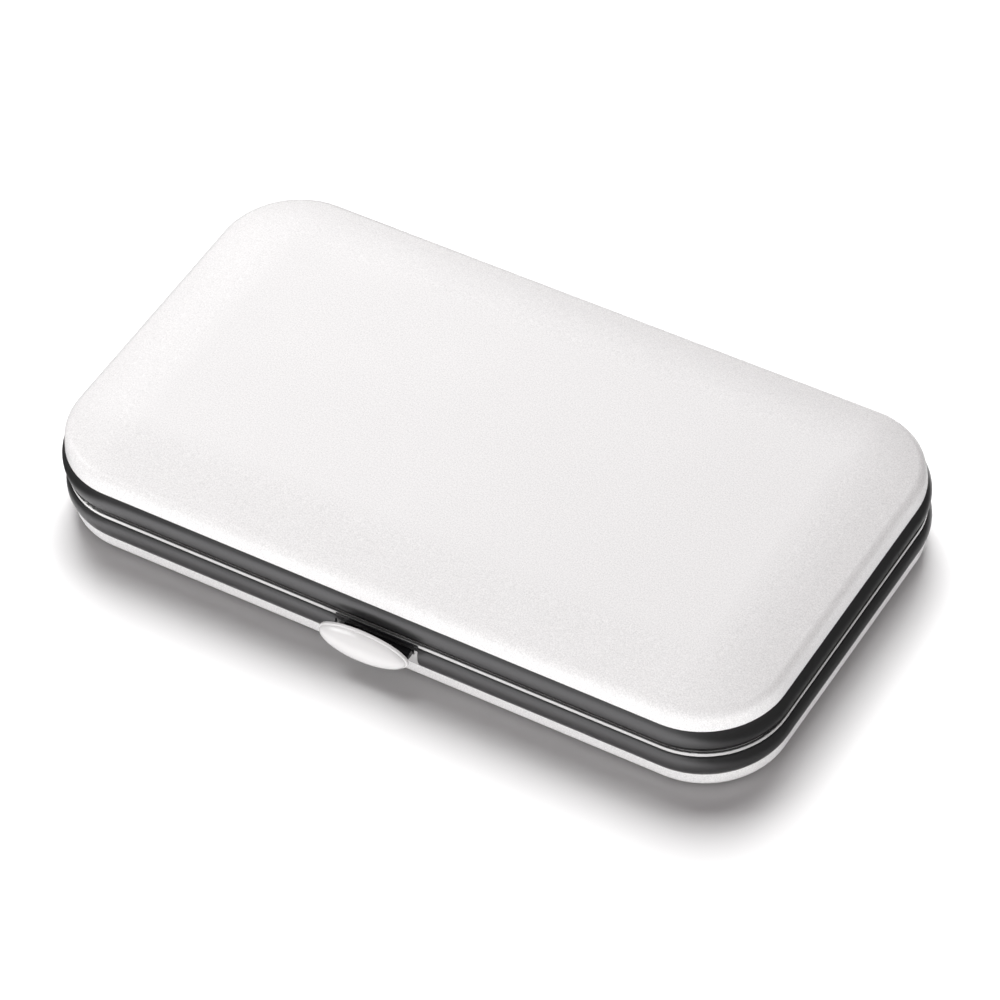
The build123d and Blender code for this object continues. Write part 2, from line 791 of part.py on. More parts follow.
# Tweezers: two arms welded at the tail
tweezer_tip_x = slim_tool_left + tweezer_length
tweezer_joint_x = slim_tool_left + tweezer_joined_length
tweezer_bow_x = slim_tool_left + tweezer_length * 2 / 5
tweezer_close_x = slim_tool_left + tweezer_length * 3 / 5
tweezer_height = tweezer_spread + 2 * tweezer_sheet
tweezer_mid_z = liner_top_z + tweezer_height / 2


def tweezer_arm(up):
    """One arm, bowed away from the middle height: up is 1 above it and -1 below it."""
    inner = (
        (slim_tool_left, 0),
        (tweezer_joint_x, 0),
        (tweezer_bow_x, tweezer_spread / 2),
        (tweezer_close_x, tweezer_spread / 2),
        (tweezer_tip_x, tweezer_tip_gap / 2),
    )
    outer = [(x, rise + tweezer_sheet) for x, rise in inner]
    points = [(x, tweezer_mid_z + up * rise) for x, rise in (*inner, *reversed(outer))]
    side_profile(points, tweezer_y, tweezer_width)
    trim_to_plan(
        (
            (slim_tool_left, -tweezer_width / 2),
            (tweezer_close_x, -tweezer_width / 2),
            (tweezer_tip_x, -tweezer_tip_width / 2),
            (tweezer_tip_x, tweezer_tip_width / 2),
            (tweezer_close_x, tweezer_width / 2),
            (slim_tool_left, tweezer_width / 2),
        ),
        tweezer_y,
    )


with BuildPart() as tweezer_arm_lower:
    tweezer_arm(-1)
tweezer_arm_lower.part.label = "tweezer_arm_lower"
export_step(tweezer_arm_lower.part, "parts/tweezer_arm_lower.step")

with BuildPart() as tweezer_arm_upper:
    tweezer_arm(1)
tweezer_arm_upper.part.label = "tweezer_arm_upper"
export_step(tweezer_arm_upper.part, "parts/tweezer_arm_upper.step")

# Cuticle pusher and nail file, each a steel blade whose tang sits in a moulded handle
handle_end_x = slim_tool_left + handle_length
handle_mid_z = liner_top_z + handle_height / 2


def handle(y, tang_height):
    """Rounded handle with a slot for the tang."""
    with BuildSketch(Plane.YZ.offset(slim_tool_left)) as end:
        with Locations((y, handle_mid_z)):
            RectangleRounded(handle_width, handle_height, handle_round)
    extrude(end.sketch, amount=handle_length)
    slot_half_width = tang_width / 2 + tang_clearance
    slot_half_height = tang_height / 2 + tang_clearance
    block(
        (handle_end_x - tang_length, y - slot_half_width, handle_mid_z - slot_half_height),
        (handle_end_x, y + slot_half_width, handle_mid_z + slot_half_height),
        mode=Mode.SUBTRACT,
    )


def tang(y, tang_height):
    """Flat tang that fills the handle's slot."""
    block(
        (handle_end_x - tang_length, y - tang_width / 2, handle_mid_z - tang_height / 2),
        (handle_end_x, y + tang_width / 2, handle_mid_z + tang_height / 2),
    )


with BuildPart() as pusher_handle:
    handle(pusher_y, 2 * pusher_radius)
pusher_handle.part.label = "pusher_handle"
export_step(pusher_handle.part, "parts/pusher_handle.step")

with BuildPart() as pusher_blade:
    spoon_x = slim_tool_left + pusher_length - pusher_spoon_length
    tang(pusher_y, 2 * pusher_radius)
    with BuildSketch(Plane.YZ.offset(handle_end_x)):
        with Locations((pusher_y, handle_mid_z)):
            Circle(pusher_radius)
    extrude(amount=spoon_x + pusher_spoon_width / 2 - handle_end_x)
    with BuildSketch(Plane.XY.offset(handle_mid_z - pusher_spoon_thickness / 2)):
        with Locations((spoon_x + pusher_spoon_length / 2, pusher_y)):
            SlotOverall(pusher_spoon_length, pusher_spoon_width)
    extrude(amount=pusher_spoon_thickness)
pusher_blade.part.label = "pusher_blade"
export_step(pusher_blade.part, "parts/pusher_blade.step")

with BuildPart() as file_handle:
    handle(file_y, file_thickness)
file_handle.part.label = "file_handle"
export_step(file_handle.part, "parts/file_handle.step")

with BuildPart() as file_blade:
    file_tip_x = slim_tool_left + file_length
    tang(file_y, file_thickness)
    with BuildSketch(Plane.XY.offset(handle_mid_z - file_thickness / 2)):
        with Locations((0, file_y)):
            Polygon(
                (handle_end_x, -file_width / 2),
                (file_tip_x - 2 * file_width, -file_width / 2),
                (file_tip_x, 0),
                (file_tip_x - 2 * file_width, file_width / 2),
                (handle_end_x, file_width / 2),
                align=None,
            )
    extrude(amount=file_thickness)
file_blade.part.label = "file_blade"
export_step(file_blade.part, "parts/file_blade.step")


def elastic_strap(x, tools):
    """Strap stitched to the base liner that arches over tools given as (y, half width, height)."""
    left_x = x - elastic_width / 2
    right_x = x + elastic_width / 2
    first_y = min(y - half_width for y, half_width, height in tools) - elastic_gap - elastic_sheet
    last_y = max(y + half_width for y, half_width, height in tools) + elastic_gap + elastic_sheet
    block(
        (left_x, first_y - elastic_tail, liner_top_z),
        (right_x, last_y + elastic_tail, liner_top_z + elastic_sheet),
    )
    for y, half_width, height in tools:
        reach = half_width + elastic_gap
        top_z = liner_top_z + height + elastic_gap
        block(
            (left_x, y - reach - elastic_sheet, liner_top_z),
            (right_x, y + reach + elastic_sheet, top_z + elastic_sheet),
        )
        block((left_x, y - reach, liner_top_z), (right_x, y + reach, top_z), mode=Mode.SUBTRACT)


with BuildPart() as tool_elastic_left:
    elastic_strap(
        slim_elastic_left_x,
        (
            (tweezer_y, tweezer_width / 2, tweezer_height),
            (pusher_y, handle_width / 2, handle_height),
            (file_y, handle_width / 2, handle_height),
        ),
    )
tool_elastic_left.part.label = "tool_elastic_left"
export_step(tool_elastic_left.part, "parts/tool_elastic_left.step")

with BuildPart() as tool_elastic_right:
    elastic_strap(
        slim_elastic_right_x,
        (
            (tweezer_y, tweezer_width / 2, tweezer_height),
            (pusher_y, pusher_radius, handle_height / 2 + pusher_radius),
            (file_y, file_width / 2, (handle_height + file_thickness) / 2),
        ),
    )
tool_elastic_right.part.label = "tool_elastic_right"
export_step(tool_elastic_right.part, "parts/tool_elastic_right.step")

with BuildPart() as clipper_elastic:
    elastic_top_x = clipper_elastic_x + elastic_width / 2
    clipper_height = clipper_lever_z + clipper_lever_sheet - liner_top_z
    clipper_height = clipper_height + clipper_slope * (elastic_top_x - clipper_joint_x)
    elastic_strap(clipper_elastic_x, ((clipper_centre_y, clipper_width / 2, clipper_height),))
clipper_elastic.part.label = "clipper_elastic"
export_step(clipper_elastic.part, "parts/clipper_elastic.step")

# Scissors under the lid: each half has its blade in its own layer and its ring at full thickness
scissor_ring_x = scissor_pivot_x - scissor_shank_length - scissor_ring_length / 2
scissor_ring_rise = (scissor_ring_gap + scissor_ring_width) / 2
scissor_ring_reach = scissor_shank_length + scissor_ring_bar / 2
scissor_layer = (scissor_thickness - scissor_half_gap) / 2


def scissor_shank(side):
    """Plan of the bar from the pivot to the ring, in a sketch centred on the pivot."""
    Polygon(
        (0, -scissor_shank_width / 2),
        (0, scissor_shank_width / 2),
        (-scissor_ring_reach, side * scissor_ring_rise + scissor_shank_width / 2),
        (-scissor_ring_reach, side * scissor_ring_rise - scissor_shank_width / 2),
        align=None,
    )


def scissor_half(side, layer_z, bore_radius):
    """One half: side is 1 with its ring at the back, and layer_z is the underside of its blade's layer."""
    ring_centre = (scissor_ring_x - scissor_pivot_x, side * scissor_ring_rise)
    with BuildSketch(Plane((scissor_pivot_x, scissor_pivot_y, scissor_bottom_z))) as grip:
        with Locations(ring_centre):
            Ellipse(scissor_ring_length / 2, scissor_ring_width / 2)
        scissor_shank(side)
        with Locations(ring_centre):
            Ellipse(
                scissor_ring_length / 2 - scissor_ring_bar,
                scissor_ring_width / 2 - scissor_ring_bar,
                mode=Mode.SUBTRACT,
            )
        Circle(scissor_lap_radius, mode=Mode.SUBTRACT)
    with BuildSketch(Plane((scissor_pivot_x, scissor_pivot_y, layer_z))) as blade:
        Circle(scissor_hub_radius)
        Polygon(
            (0, -scissor_blade_width / 2),
            (scissor_blade_length, -scissor_tip_width / 2),
            (scissor_blade_length, scissor_tip_width / 2),
            (0, scissor_blade_width / 2),
            align=None,
        )
        scissor_shank(side)
        Circle(bore_radius, mode=Mode.SUBTRACT)
    extrude(grip.sketch, amount=scissor_thickness)
    extrude(blade.sketch, amount=scissor_layer)


with BuildPart() as scissor_half_fixed:
    scissor_half(1, scissor_top_z - scissor_layer, scissor_screw_radius + rivet_clearance)
scissor_half_fixed.part.label = "scissor_half_fixed"
export_step(scissor_half_fixed.part, "parts/scissor_half_fixed.step")

with BuildPart() as scissor_half_moving:
    scissor_half(-1, scissor_bottom_z, scissor_screw_radius + scissor_screw_clearance)
scissor_half_moving.part.label = "scissor_half_moving"
export_step(scissor_half_moving.part, "parts/scissor_half_moving.step")

with BuildPart() as scissor_screw:
    with BuildSketch(Plane((scissor_pivot_x, scissor_pivot_y, scissor_bottom_z))):
        Circle(scissor_screw_radius)
    extrude(amount=scissor_thickness)
    with BuildSketch(Plane((scissor_pivot_x, scissor_pivot_y, scissor_bottom_z - scissor_screw_head))):
        Circle(scissor_screw_head_radius)
    extrude(amount=scissor_screw_head)
scissor_screw.part.label = "scissor_screw"
export_step(scissor_screw.part, "parts/scissor_screw.step")

with BuildPart() as scissor_elastic:
    strap_left_x = scissor_pivot_x - scissor_elastic_width / 2
    strap_right_x = scissor_pivot_x + scissor_elastic_width / 2
    strap_reach = scissor_hub_radius + scissor_elastic_clearance
    strap_inner_z = scissor_bottom_z - scissor_screw_head - elastic_gap
    strap_end = strap_reach + elastic_sheet + elastic_tail
    block(
        (strap_left_x, scissor_pivot_y - strap_end, lid_liner_z - elastic_sheet),
        (strap_right_x, scissor_pivot_y + strap_end, lid_liner_z),
    )
    block(
        (strap_left_x, scissor_pivot_y - strap_reach - elastic_sheet, strap_inner_z - elastic_sheet),
        (strap_right_x, scissor_pivot_y + strap_reach + elastic_sheet, lid_liner_z),
    )
    block(
        (strap_left_x, scissor_pivot_y - strap_reach, strap_inner_z),
        (strap_right_x, scissor_pivot_y + strap_reach, lid_liner_z),
        mode=Mode.SUBTRACT,
    )
scissor_elastic.part.label = "scissor_elastic"
export_step(scissor_elastic.part, "parts/scissor_elastic.step")
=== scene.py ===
import json
import math

import bpy
from mathutils import Matrix, Vector, geometry, noise


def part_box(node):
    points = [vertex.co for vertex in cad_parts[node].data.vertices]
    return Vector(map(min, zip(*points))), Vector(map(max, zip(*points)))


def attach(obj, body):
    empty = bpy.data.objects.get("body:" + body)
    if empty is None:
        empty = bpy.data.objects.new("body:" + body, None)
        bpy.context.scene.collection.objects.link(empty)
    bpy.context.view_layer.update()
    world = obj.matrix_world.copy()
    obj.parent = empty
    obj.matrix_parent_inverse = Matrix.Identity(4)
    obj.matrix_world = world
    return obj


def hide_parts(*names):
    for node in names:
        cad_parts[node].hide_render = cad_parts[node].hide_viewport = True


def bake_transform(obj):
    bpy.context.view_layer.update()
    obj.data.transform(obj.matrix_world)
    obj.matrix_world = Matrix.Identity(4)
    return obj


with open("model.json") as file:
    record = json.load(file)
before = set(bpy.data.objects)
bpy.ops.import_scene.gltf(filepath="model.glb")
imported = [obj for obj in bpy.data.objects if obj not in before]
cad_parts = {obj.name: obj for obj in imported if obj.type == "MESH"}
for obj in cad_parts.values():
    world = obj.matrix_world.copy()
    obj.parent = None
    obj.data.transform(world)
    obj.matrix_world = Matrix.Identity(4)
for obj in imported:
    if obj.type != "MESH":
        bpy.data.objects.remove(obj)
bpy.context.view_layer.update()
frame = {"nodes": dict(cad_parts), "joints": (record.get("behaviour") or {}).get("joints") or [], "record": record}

# Pocket manicure case: pearl covers in two dark metal bands with a bright rim, an oval push button,
# a riveted hinge, and steel tools held in elastic on padded liners. Metres, in the case's own frame.

MM = 0.001
nodes = frame["nodes"]


# ---------------------------------------------------------------- camera

CAMERA_TARGET = Vector((2.94, -3.26, 8.21)) * MM
CAMERA_DISTANCE = 0.7453
CAMERA_AZIMUTH = math.radians(34.59)
CAMERA_ELEVATION = math.radians(47.14)
CAMERA_ROLL = math.radians(-5.0)
SENSOR_WIDTH = 36.0
FOCAL_LENGTH = 192.1


def make_camera():
    """Long-lens camera above the front right corner, as in the photograph."""
    data = bpy.data.cameras.new("photo_camera")
    data.sensor_width = SENSOR_WIDTH
    data.lens = FOCAL_LENGTH
    data.clip_start = 0.05
    data.clip_end = 20
    camera = bpy.data.objects.new("photo_camera", data)
    bpy.context.scene.collection.objects.link(camera)
    towards = Vector((
        math.sin(CAMERA_AZIMUTH) * math.cos(CAMERA_ELEVATION),
        -math.cos(CAMERA_AZIMUTH) * math.cos(CAMERA_ELEVATION),
        math.sin(CAMERA_ELEVATION),
    ))
    turn = towards.to_track_quat("Z", "Y").to_matrix().to_4x4() @ Matrix.Rotation(CAMERA_ROLL, 4, "Z")
    camera.matrix_world = Matrix.Translation(CAMERA_TARGET + towards * CAMERA_DISTANCE) @ turn
    bpy.context.scene.camera = camera
    return camera


camera = make_camera()


# ---------------------------------------------------------------- node groups shared by the materials

def group(name, inputs, outputs):
    """Empty shader node group with float inputs, given as name to default, and typed outputs."""
    tree = bpy.data.node_groups.new(name, "ShaderNodeTree")
    for label, default in inputs.items():
        socket = tree.interface.new_socket(label, in_out="INPUT", socket_type="NodeSocketFloat")
        socket.default_value = default
    for label, kind in outputs.items():
        tree.interface.new_socket(label, in_out="OUTPUT", socket_type="NodeSocket" + kind)
    return tree, tree.nodes.new("NodeGroupInput"), tree.nodes.new("NodeGroupOutput")


def math_node(tree, operation, first, second=None):
    """Math node whose operands are sockets or numbers."""
    node = tree.nodes.new("ShaderNodeMath")
    node.operation = operation
    for slot_index, value in enumerate((first, second)):
        if value is None:
            continue
        if isinstance(value, bpy.types.NodeSocket):
            tree.links.new(value, node.inputs[slot_index])
        else:
            node.inputs[slot_index].default_value = value
    return node.outputs[0]


def noise_node(tree, vector, scale, detail=2.0, roughness=0.5):
    """Noise over a vector socket; scale is a socket or a number."""
    node = tree.nodes.new("ShaderNodeTexNoise")
    tree.links.new(vector, node.inputs["Vector"])
    if isinstance(scale, bpy.types.NodeSocket):
        tree.links.new(scale, node.inputs["Scale"])
    else:
        node.inputs["Scale"].default_value = scale
    node.inputs["Detail"].default_value = detail
    node.inputs["Roughness"].default_value = roughness
    return node.outputs["Fac"]


def make_fine_grain():
    """Frosted grain: Height for bump, Tone to vary the colour and Gloss to vary the roughness."""
    tree, given, result = group(
        "fine_grain",
        {"Grains per metre": 5000.0, "Tone spread": 0.02, "Gloss spread": 0.05},
        {"Height": "Float", "Tone": "Float", "Gloss": "Float"},
    )
    place = tree.nodes.new("ShaderNodeTexCoord").outputs["Object"]
    grain = noise_node(tree, place, given.outputs["Grains per metre"], detail=3.0, roughness=0.65)
    broad = noise_node(tree, place, 60.0, detail=1.0)
    swing = math_node(tree, "SUBTRACT", grain, 0.5)
    broad_swing = math_node(tree, "SUBTRACT", broad, 0.5)
    tone = math_node(tree, "ADD", math_node(tree, "MULTIPLY", swing, given.outputs["Tone spread"]), 1.0)
    gloss_swing = math_node(tree, "ADD", swing, broad_swing)
    tree.links.new(grain, result.inputs["Height"])
    tree.links.new(tone, result.inputs["Tone"])
    tree.links.new(math_node(tree, "MULTIPLY", gloss_swing, given.outputs["Gloss spread"]), result.inputs["Gloss"])
    return tree


FINE_GRAIN = make_fine_grain()


def place_group(tree, node_group, **values):
    """Group node in a material; underscores in the keywords stand for spaces in the socket names."""
    node = tree.nodes.new("ShaderNodeGroup")
    node.node_tree = node_group
    for label, value in values.items():
        node.inputs[label.replace("_", " ")].default_value = value
    return node


def tinted(tree, colour, tone):
    """The colour times a tone that varies over the surface."""
    mix = tree.nodes.new("ShaderNodeVectorMath")
    mix.operation = "SCALE"
    mix.inputs[0].default_value = colour
    tree.links.new(tone, mix.inputs["Scale"])
    return mix.outputs[0]


def principled(name):
    """New material with its tree and its Principled shader."""
    material = bpy.data.materials.new(name)
    material.use_nodes = True
    tree = material.node_tree
    return material, tree, tree.nodes["Principled BSDF"]


def bump(tree, shader, height, distance, strength=1.0):
    node = tree.nodes.new("ShaderNodeBump")
    node.inputs["Distance"].default_value = distance
    node.inputs["Strength"].default_value = strength
    tree.links.new(height, node.inputs["Height"])
    tree.links.new(node.outputs["Normal"], shader.inputs["Normal"])


def grained_material(name, colour, roughness, grains, tone_spread, gloss_spread, bump_distance, **shader_values):
    """Solid finish whose grain varies colour, gloss and surface."""
    material, tree, shader = principled(name)
    grain = place_group(
        tree, FINE_GRAIN,
        Grains_per_metre=grains, Tone_spread=tone_spread, Gloss_spread=gloss_spread,
    )
    tree.links.new(tinted(tree, colour, grain.outputs["Tone"]), shader.inputs["Base Color"])
    tree.links.new(math_node(tree, "ADD", grain.outputs["Gloss"], roughness), shader.inputs["Roughness"])
    bump(tree, shader, grain.outputs["Height"], bump_distance)
    for label, value in shader_values.items():
        shader.inputs[label.replace("_", " ")].default_value = value
    return material


def make_leather_grain():
    """Leather: small cells with creases between them, and soft broad wear."""
    tree, given, result = group(
        "leather_grain",
        {"Cells per metre": 1100.0, "Tone spread": 0.3, "Gloss spread": 0.15},
        {"Height": "Float", "Tone": "Float", "Gloss": "Float"},
    )
    place = tree.nodes.new("ShaderNodeTexCoord").outputs["Object"]
    cells = tree.nodes.new("ShaderNodeTexVoronoi")
    cells.feature = "DISTANCE_TO_EDGE"
    tree.links.new(place, cells.inputs["Vector"])
    tree.links.new(given.outputs["Cells per metre"], cells.inputs["Scale"])
    crease = math_node(tree, "MINIMUM", math_node(tree, "MULTIPLY", cells.outputs["Distance"], 4.0), 1.0)
    wear = math_node(tree, "SUBTRACT", noise_node(tree, place, 90.0, detail=3.0), 0.5)
    fine = noise_node(tree, place, 6000.0, detail=2.0)
    height = math_node(tree, "ADD", crease, math_node(tree, "MULTIPLY", fine, 0.35))
    # the tone is darker in the creases, which is painted shade, and varies with the wear
    shade = math_node(tree, "ADD", math_node(tree, "SUBTRACT", crease, 0.8), wear)
    tone = math_node(tree, "ADD", math_node(tree, "MULTIPLY", shade, given.outputs["Tone spread"]), 1.0)
    tree.links.new(height, result.inputs["Height"])
    tree.links.new(tone, result.inputs["Tone"])
    tree.links.new(math_node(tree, "MULTIPLY", wear, given.outputs["Gloss spread"]), result.inputs["Gloss"])
    return tree


WEAVE_PLACE = "weave_place"


def make_elastic_weave():
    """Knitted elastic: ribs along the strap, and picks across it that alternate from rib to rib."""
    tree, given, result = group(
        "elastic_weave",
        {"Ribs per metre": 1100.0, "Picks per metre": 1900.0, "Tone spread": 0.5},
        {"Height": "Float", "Tone": "Float"},
    )
    place = tree.nodes.new("ShaderNodeAttribute")
    place.attribute_name = WEAVE_PLACE
    split = tree.nodes.new("ShaderNodeSeparateXYZ")
    tree.links.new(place.outputs["Vector"], split.inputs[0])
    rib_count = math_node(tree, "MULTIPLY", split.outputs["X"], given.outputs["Ribs per metre"])
    rib = math_node(tree, "ABSOLUTE", math_node(tree, "SINE", math_node(tree, "MULTIPLY", rib_count, math.pi)))
    picks = math_node(tree, "MULTIPLY", split.outputs["Y"], given.outputs["Picks per metre"])
    shifted = math_node(tree, "ADD", picks, math_node(tree, "MULTIPLY", math_node(tree, "FLOOR", rib_count), 0.5))
    pick = math_node(tree, "SINE", math_node(tree, "MULTIPLY", shifted, 2 * math.pi))
    height = math_node(tree, "MULTIPLY", rib, math_node(tree, "ADD", math_node(tree, "MULTIPLY", pick, 0.25), 0.75))
    # the tone follows the height, so the grooves between ribs and picks are painted darker: painted shade
    swing = math_node(tree, "SUBTRACT", height, 0.5)
    tree.links.new(height, result.inputs["Height"])
    tree.links.new(
        math_node(tree, "ADD", math_node(tree, "MULTIPLY", swing, given.outputs["Tone spread"]), 1.0),
        result.inputs["Tone"],
    )
    return tree


def stretched_place(tree, scale):
    """Object coordinates stretched by a scale per axis."""
    place = tree.nodes.new("ShaderNodeVectorMath")
    place.operation = "MULTIPLY"
    tree.links.new(tree.nodes.new("ShaderNodeTexCoord").outputs["Object"], place.inputs[0])
    place.inputs[1].default_value = scale
    return place.outputs[0]


def make_brushed():
    """Brush marks along x, with broad smudges: Height, Tone and Gloss."""
    tree, given, result = group(
        "brushed",
        {"Tone spread": 0.2, "Gloss spread": 0.1},
        {"Height": "Float", "Tone": "Float", "Gloss": "Float"},
    )
    marks = noise_node(tree, stretched_place(tree, (90.0, 5200.0, 5200.0)), 1.0, detail=4.0, roughness=0.7)
    smudge = noise_node(tree, stretched_place(tree, (60.0, 130.0, 130.0)), 1.0, detail=2.0)
    swing = math_node(tree, "SUBTRACT", marks, 0.5)
    smudge_swing = math_node(tree, "SUBTRACT", smudge, 0.5)
    both = math_node(tree, "ADD", swing, smudge_swing)
    tone = math_node(tree, "ADD", math_node(tree, "MULTIPLY", both, given.outputs["Tone spread"]), 1.0)
    tree.links.new(marks, result.inputs["Height"])
    tree.links.new(tone, result.inputs["Tone"])
    tree.links.new(math_node(tree, "MULTIPLY", both, given.outputs["Gloss spread"]), result.inputs["Gloss"])
    return tree


def make_file_teeth():
    """Two crossing rows of fine ridges, as cut into a file."""
    tree, given, result = group(
        "file_teeth",
        {"Rows per metre": 2200.0, "Tone spread": 0.5},
        {"Height": "Float", "Tone": "Float"},
    )
    place = tree.nodes.new("ShaderNodeSeparateXYZ")
    tree.links.new(tree.nodes.new("ShaderNodeTexCoord").outputs["Object"], place.inputs[0])
    ridges = []
    for sign in (1.0, -1.0):
        slant = math_node(tree, "ADD", place.outputs["X"], math_node(tree, "MULTIPLY", place.outputs["Y"], sign))
        turns = math_node(tree, "MULTIPLY", slant, given.outputs["Rows per metre"])
        wave = math_node(tree, "ABSOLUTE", math_node(tree, "SINE", math_node(tree, "MULTIPLY", turns, math.pi)))
        ridges.append(wave)
    height = math_node(tree, "MULTIPLY", *ridges)
    # the tone follows the height, so the grooves between the teeth are painted darker: painted shade
    swing = math_node(tree, "SUBTRACT", height, 0.4)
    tree.links.new(height, result.inputs["Height"])
    tree.links.new(
        math_node(tree, "ADD", math_node(tree, "MULTIPLY", swing, given.outputs["Tone spread"]), 1.0),
        result.inputs["Tone"],
    )
    return tree


LIP_FLATNESS = 0.01 * MM


def make_painted_seam_shade():
    """Painted shade along a seam: Tone falls by Depth from the unshaded height to the fully shaded one, and the
    flat at Lip stays unshaded.
    """
    tree, given, result = group(
        "painted_seam_shade",
        {"Clean": 0.0, "Dirty": 0.0, "Lip": 0.0, "Depth": 0.8},
        {"Tone": "Float"},
    )
    place = tree.nodes.new("ShaderNodeSeparateXYZ")
    tree.links.new(tree.nodes.new("ShaderNodeTexCoord").outputs["Object"], place.inputs[0])
    span = math_node(tree, "SUBTRACT", given.outputs["Dirty"], given.outputs["Clean"])
    share = math_node(tree, "DIVIDE", math_node(tree, "SUBTRACT", place.outputs["Z"], given.outputs["Clean"]), span)
    held = math_node(tree, "MINIMUM", math_node(tree, "MAXIMUM", share, 0.0), 1.0)
    from_lip = math_node(tree, "ABSOLUTE", math_node(tree, "SUBTRACT", place.outputs["Z"], given.outputs["Lip"]))
    held = math_node(tree, "MULTIPLY", held, math_node(tree, "GREATER_THAN", from_lip, LIP_FLATNESS))
    tree.links.new(
        math_node(tree, "SUBTRACT", 1.0, math_node(tree, "MULTIPLY", held, given.outputs["Depth"])),
        result.inputs["Tone"],
    )
    return tree


LEATHER_GRAIN = make_leather_grain()
ELASTIC_WEAVE = make_elastic_weave()
BRUSHED = make_brushed()
FILE_TEETH = make_file_teeth()
PAINTED_SEAM_SHADE = make_painted_seam_shade()


pearl_cover = grained_material(
    "pearl_cover", (0.80, 0.797, 0.794), 0.42, 5200.0, 0.8, 0.08, 0.000012, Coat_Weight=0.15, Coat_Roughness=0.3,
)
bright_nickel = grained_material(
    "bright_nickel", (0.88, 0.875, 0.87), 0.2, 1500.0, 0.04, 0.05, 0.000001, Metallic=0.6,
)
satin_steel = grained_material(
    "satin_steel", (0.55, 0.55, 0.56), 0.3, 2200.0, 0.08, 0.1, 0.000002, Metallic=1.0,
)
pearl_button = grained_material(
    "pearl_button", (0.70, 0.695, 0.692), 0.25, 1800.0, 0.02, 0.04, 0.000002, Coat_Weight=0.4, Coat_Roughness=0.1,
)
black_slide = grained_material(
    "black_slide", (0.012, 0.012, 0.013), 0.15, 1500.0, 0.1, 0.05, 0.000002,
)
seam_thread = grained_material(
    "seam_thread", (0.12, 0.12, 0.125), 0.55, 7000.0, 0.5, 0.1, 0.00002, Sheen_Weight=0.2,
)


def make_seam_shaded_metal(name, colour, roughness, metallic, shade_start_z, shade_full_z, lip_z):
    """Plated metal with painted shade along its seam."""
    material, tree, shader = principled(name)
    grain = place_group(tree, FINE_GRAIN, Grains_per_metre=2600.0, Tone_spread=0.10, Gloss_spread=0.12)
    # painted shade: the metal is darkened towards the seam where lid and base meet
    seam = place_group(tree, PAINTED_SEAM_SHADE, Clean=shade_start_z, Dirty=shade_full_z, Lip=lip_z, Depth=0.93)
    tone = math_node(tree, "MULTIPLY", grain.outputs["Tone"], seam.outputs["Tone"])
    tree.links.new(tinted(tree, colour, tone), shader.inputs["Base Color"])
    tree.links.new(math_node(tree, "ADD", grain.outputs["Gloss"], roughness), shader.inputs["Roughness"])
    shader.inputs["Metallic"].default_value = metallic
    shader.inputs["Specular IOR Level"].default_value = 0.2
    bump(tree, shader, grain.outputs["Height"], 0.000002)
    return material


def make_tool_steel():
    """Polished steel with brush marks along it."""
    material, tree, shader = principled("tool_steel")
    brush = place_group(tree, BRUSHED, Tone_spread=0.12, Gloss_spread=0.25)
    tree.links.new(tinted(tree, (0.82, 0.82, 0.83), brush.outputs["Tone"]), shader.inputs["Base Color"])
    tree.links.new(math_node(tree, "ADD", brush.outputs["Gloss"], 0.2), shader.inputs["Roughness"])
    shader.inputs["Metallic"].default_value = 1.0
    bump(tree, shader, brush.outputs["Height"], 0.000012)
    return material


def make_file_steel():
    """Steel cut with crossing rows of file teeth."""
    material, tree, shader = principled("file_steel")
    teeth = place_group(tree, FILE_TEETH)
    tree.links.new(tinted(tree, (0.62, 0.62, 0.63), teeth.outputs["Tone"]), shader.inputs["Base Color"])
    shader.inputs["Roughness"].default_value = 0.38
    shader.inputs["Metallic"].default_value = 1.0
    bump(tree, shader, teeth.outputs["Height"], 0.00012)
    return material


def make_black_leather():
    """Black leather-grained liner."""
    material, tree, shader = principled("black_leather")
    grain = place_group(tree, LEATHER_GRAIN, Cells_per_metre=1050.0, Tone_spread=0.35, Gloss_spread=0.2)
    tree.links.new(tinted(tree, (0.024, 0.023, 0.024), grain.outputs["Tone"]), shader.inputs["Base Color"])
    tree.links.new(math_node(tree, "ADD", grain.outputs["Gloss"], 0.46), shader.inputs["Roughness"])
    bump(tree, shader, grain.outputs["Height"], 0.00005, 0.8)
    return material


def make_black_elastic():
    """Knitted black elastic."""
    material, tree, shader = principled("black_elastic")
    weave = place_group(tree, ELASTIC_WEAVE)
    tree.links.new(tinted(tree, (0.04, 0.04, 0.042), weave.outputs["Tone"]), shader.inputs["Base Color"])
    shader.inputs["Roughness"].default_value = 0.75
    shader.inputs["Sheen Weight"].default_value = 0.25
    bump(tree, shader, weave.outputs["Height"], 0.00012)
    return material


# painted seam shade: how far above the lid's edge the painted shade reaches, and how wide it fades
SEAM_DEPTH = 0.95 * MM
SEAM_EDGE = 0.15 * MM
black_leather = make_black_leather()
black_elastic = make_black_elastic()
tool_steel = make_tool_steel()
file_steel = make_file_steel()
GUNMETAL = (0.13, 0.13, 0.132)
NICKEL = (0.88, 0.875, 0.87)
lid_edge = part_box("upper_frame")[0].z
base_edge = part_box("lower_frame")[1].z
trim_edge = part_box("rim_trim")[1].z
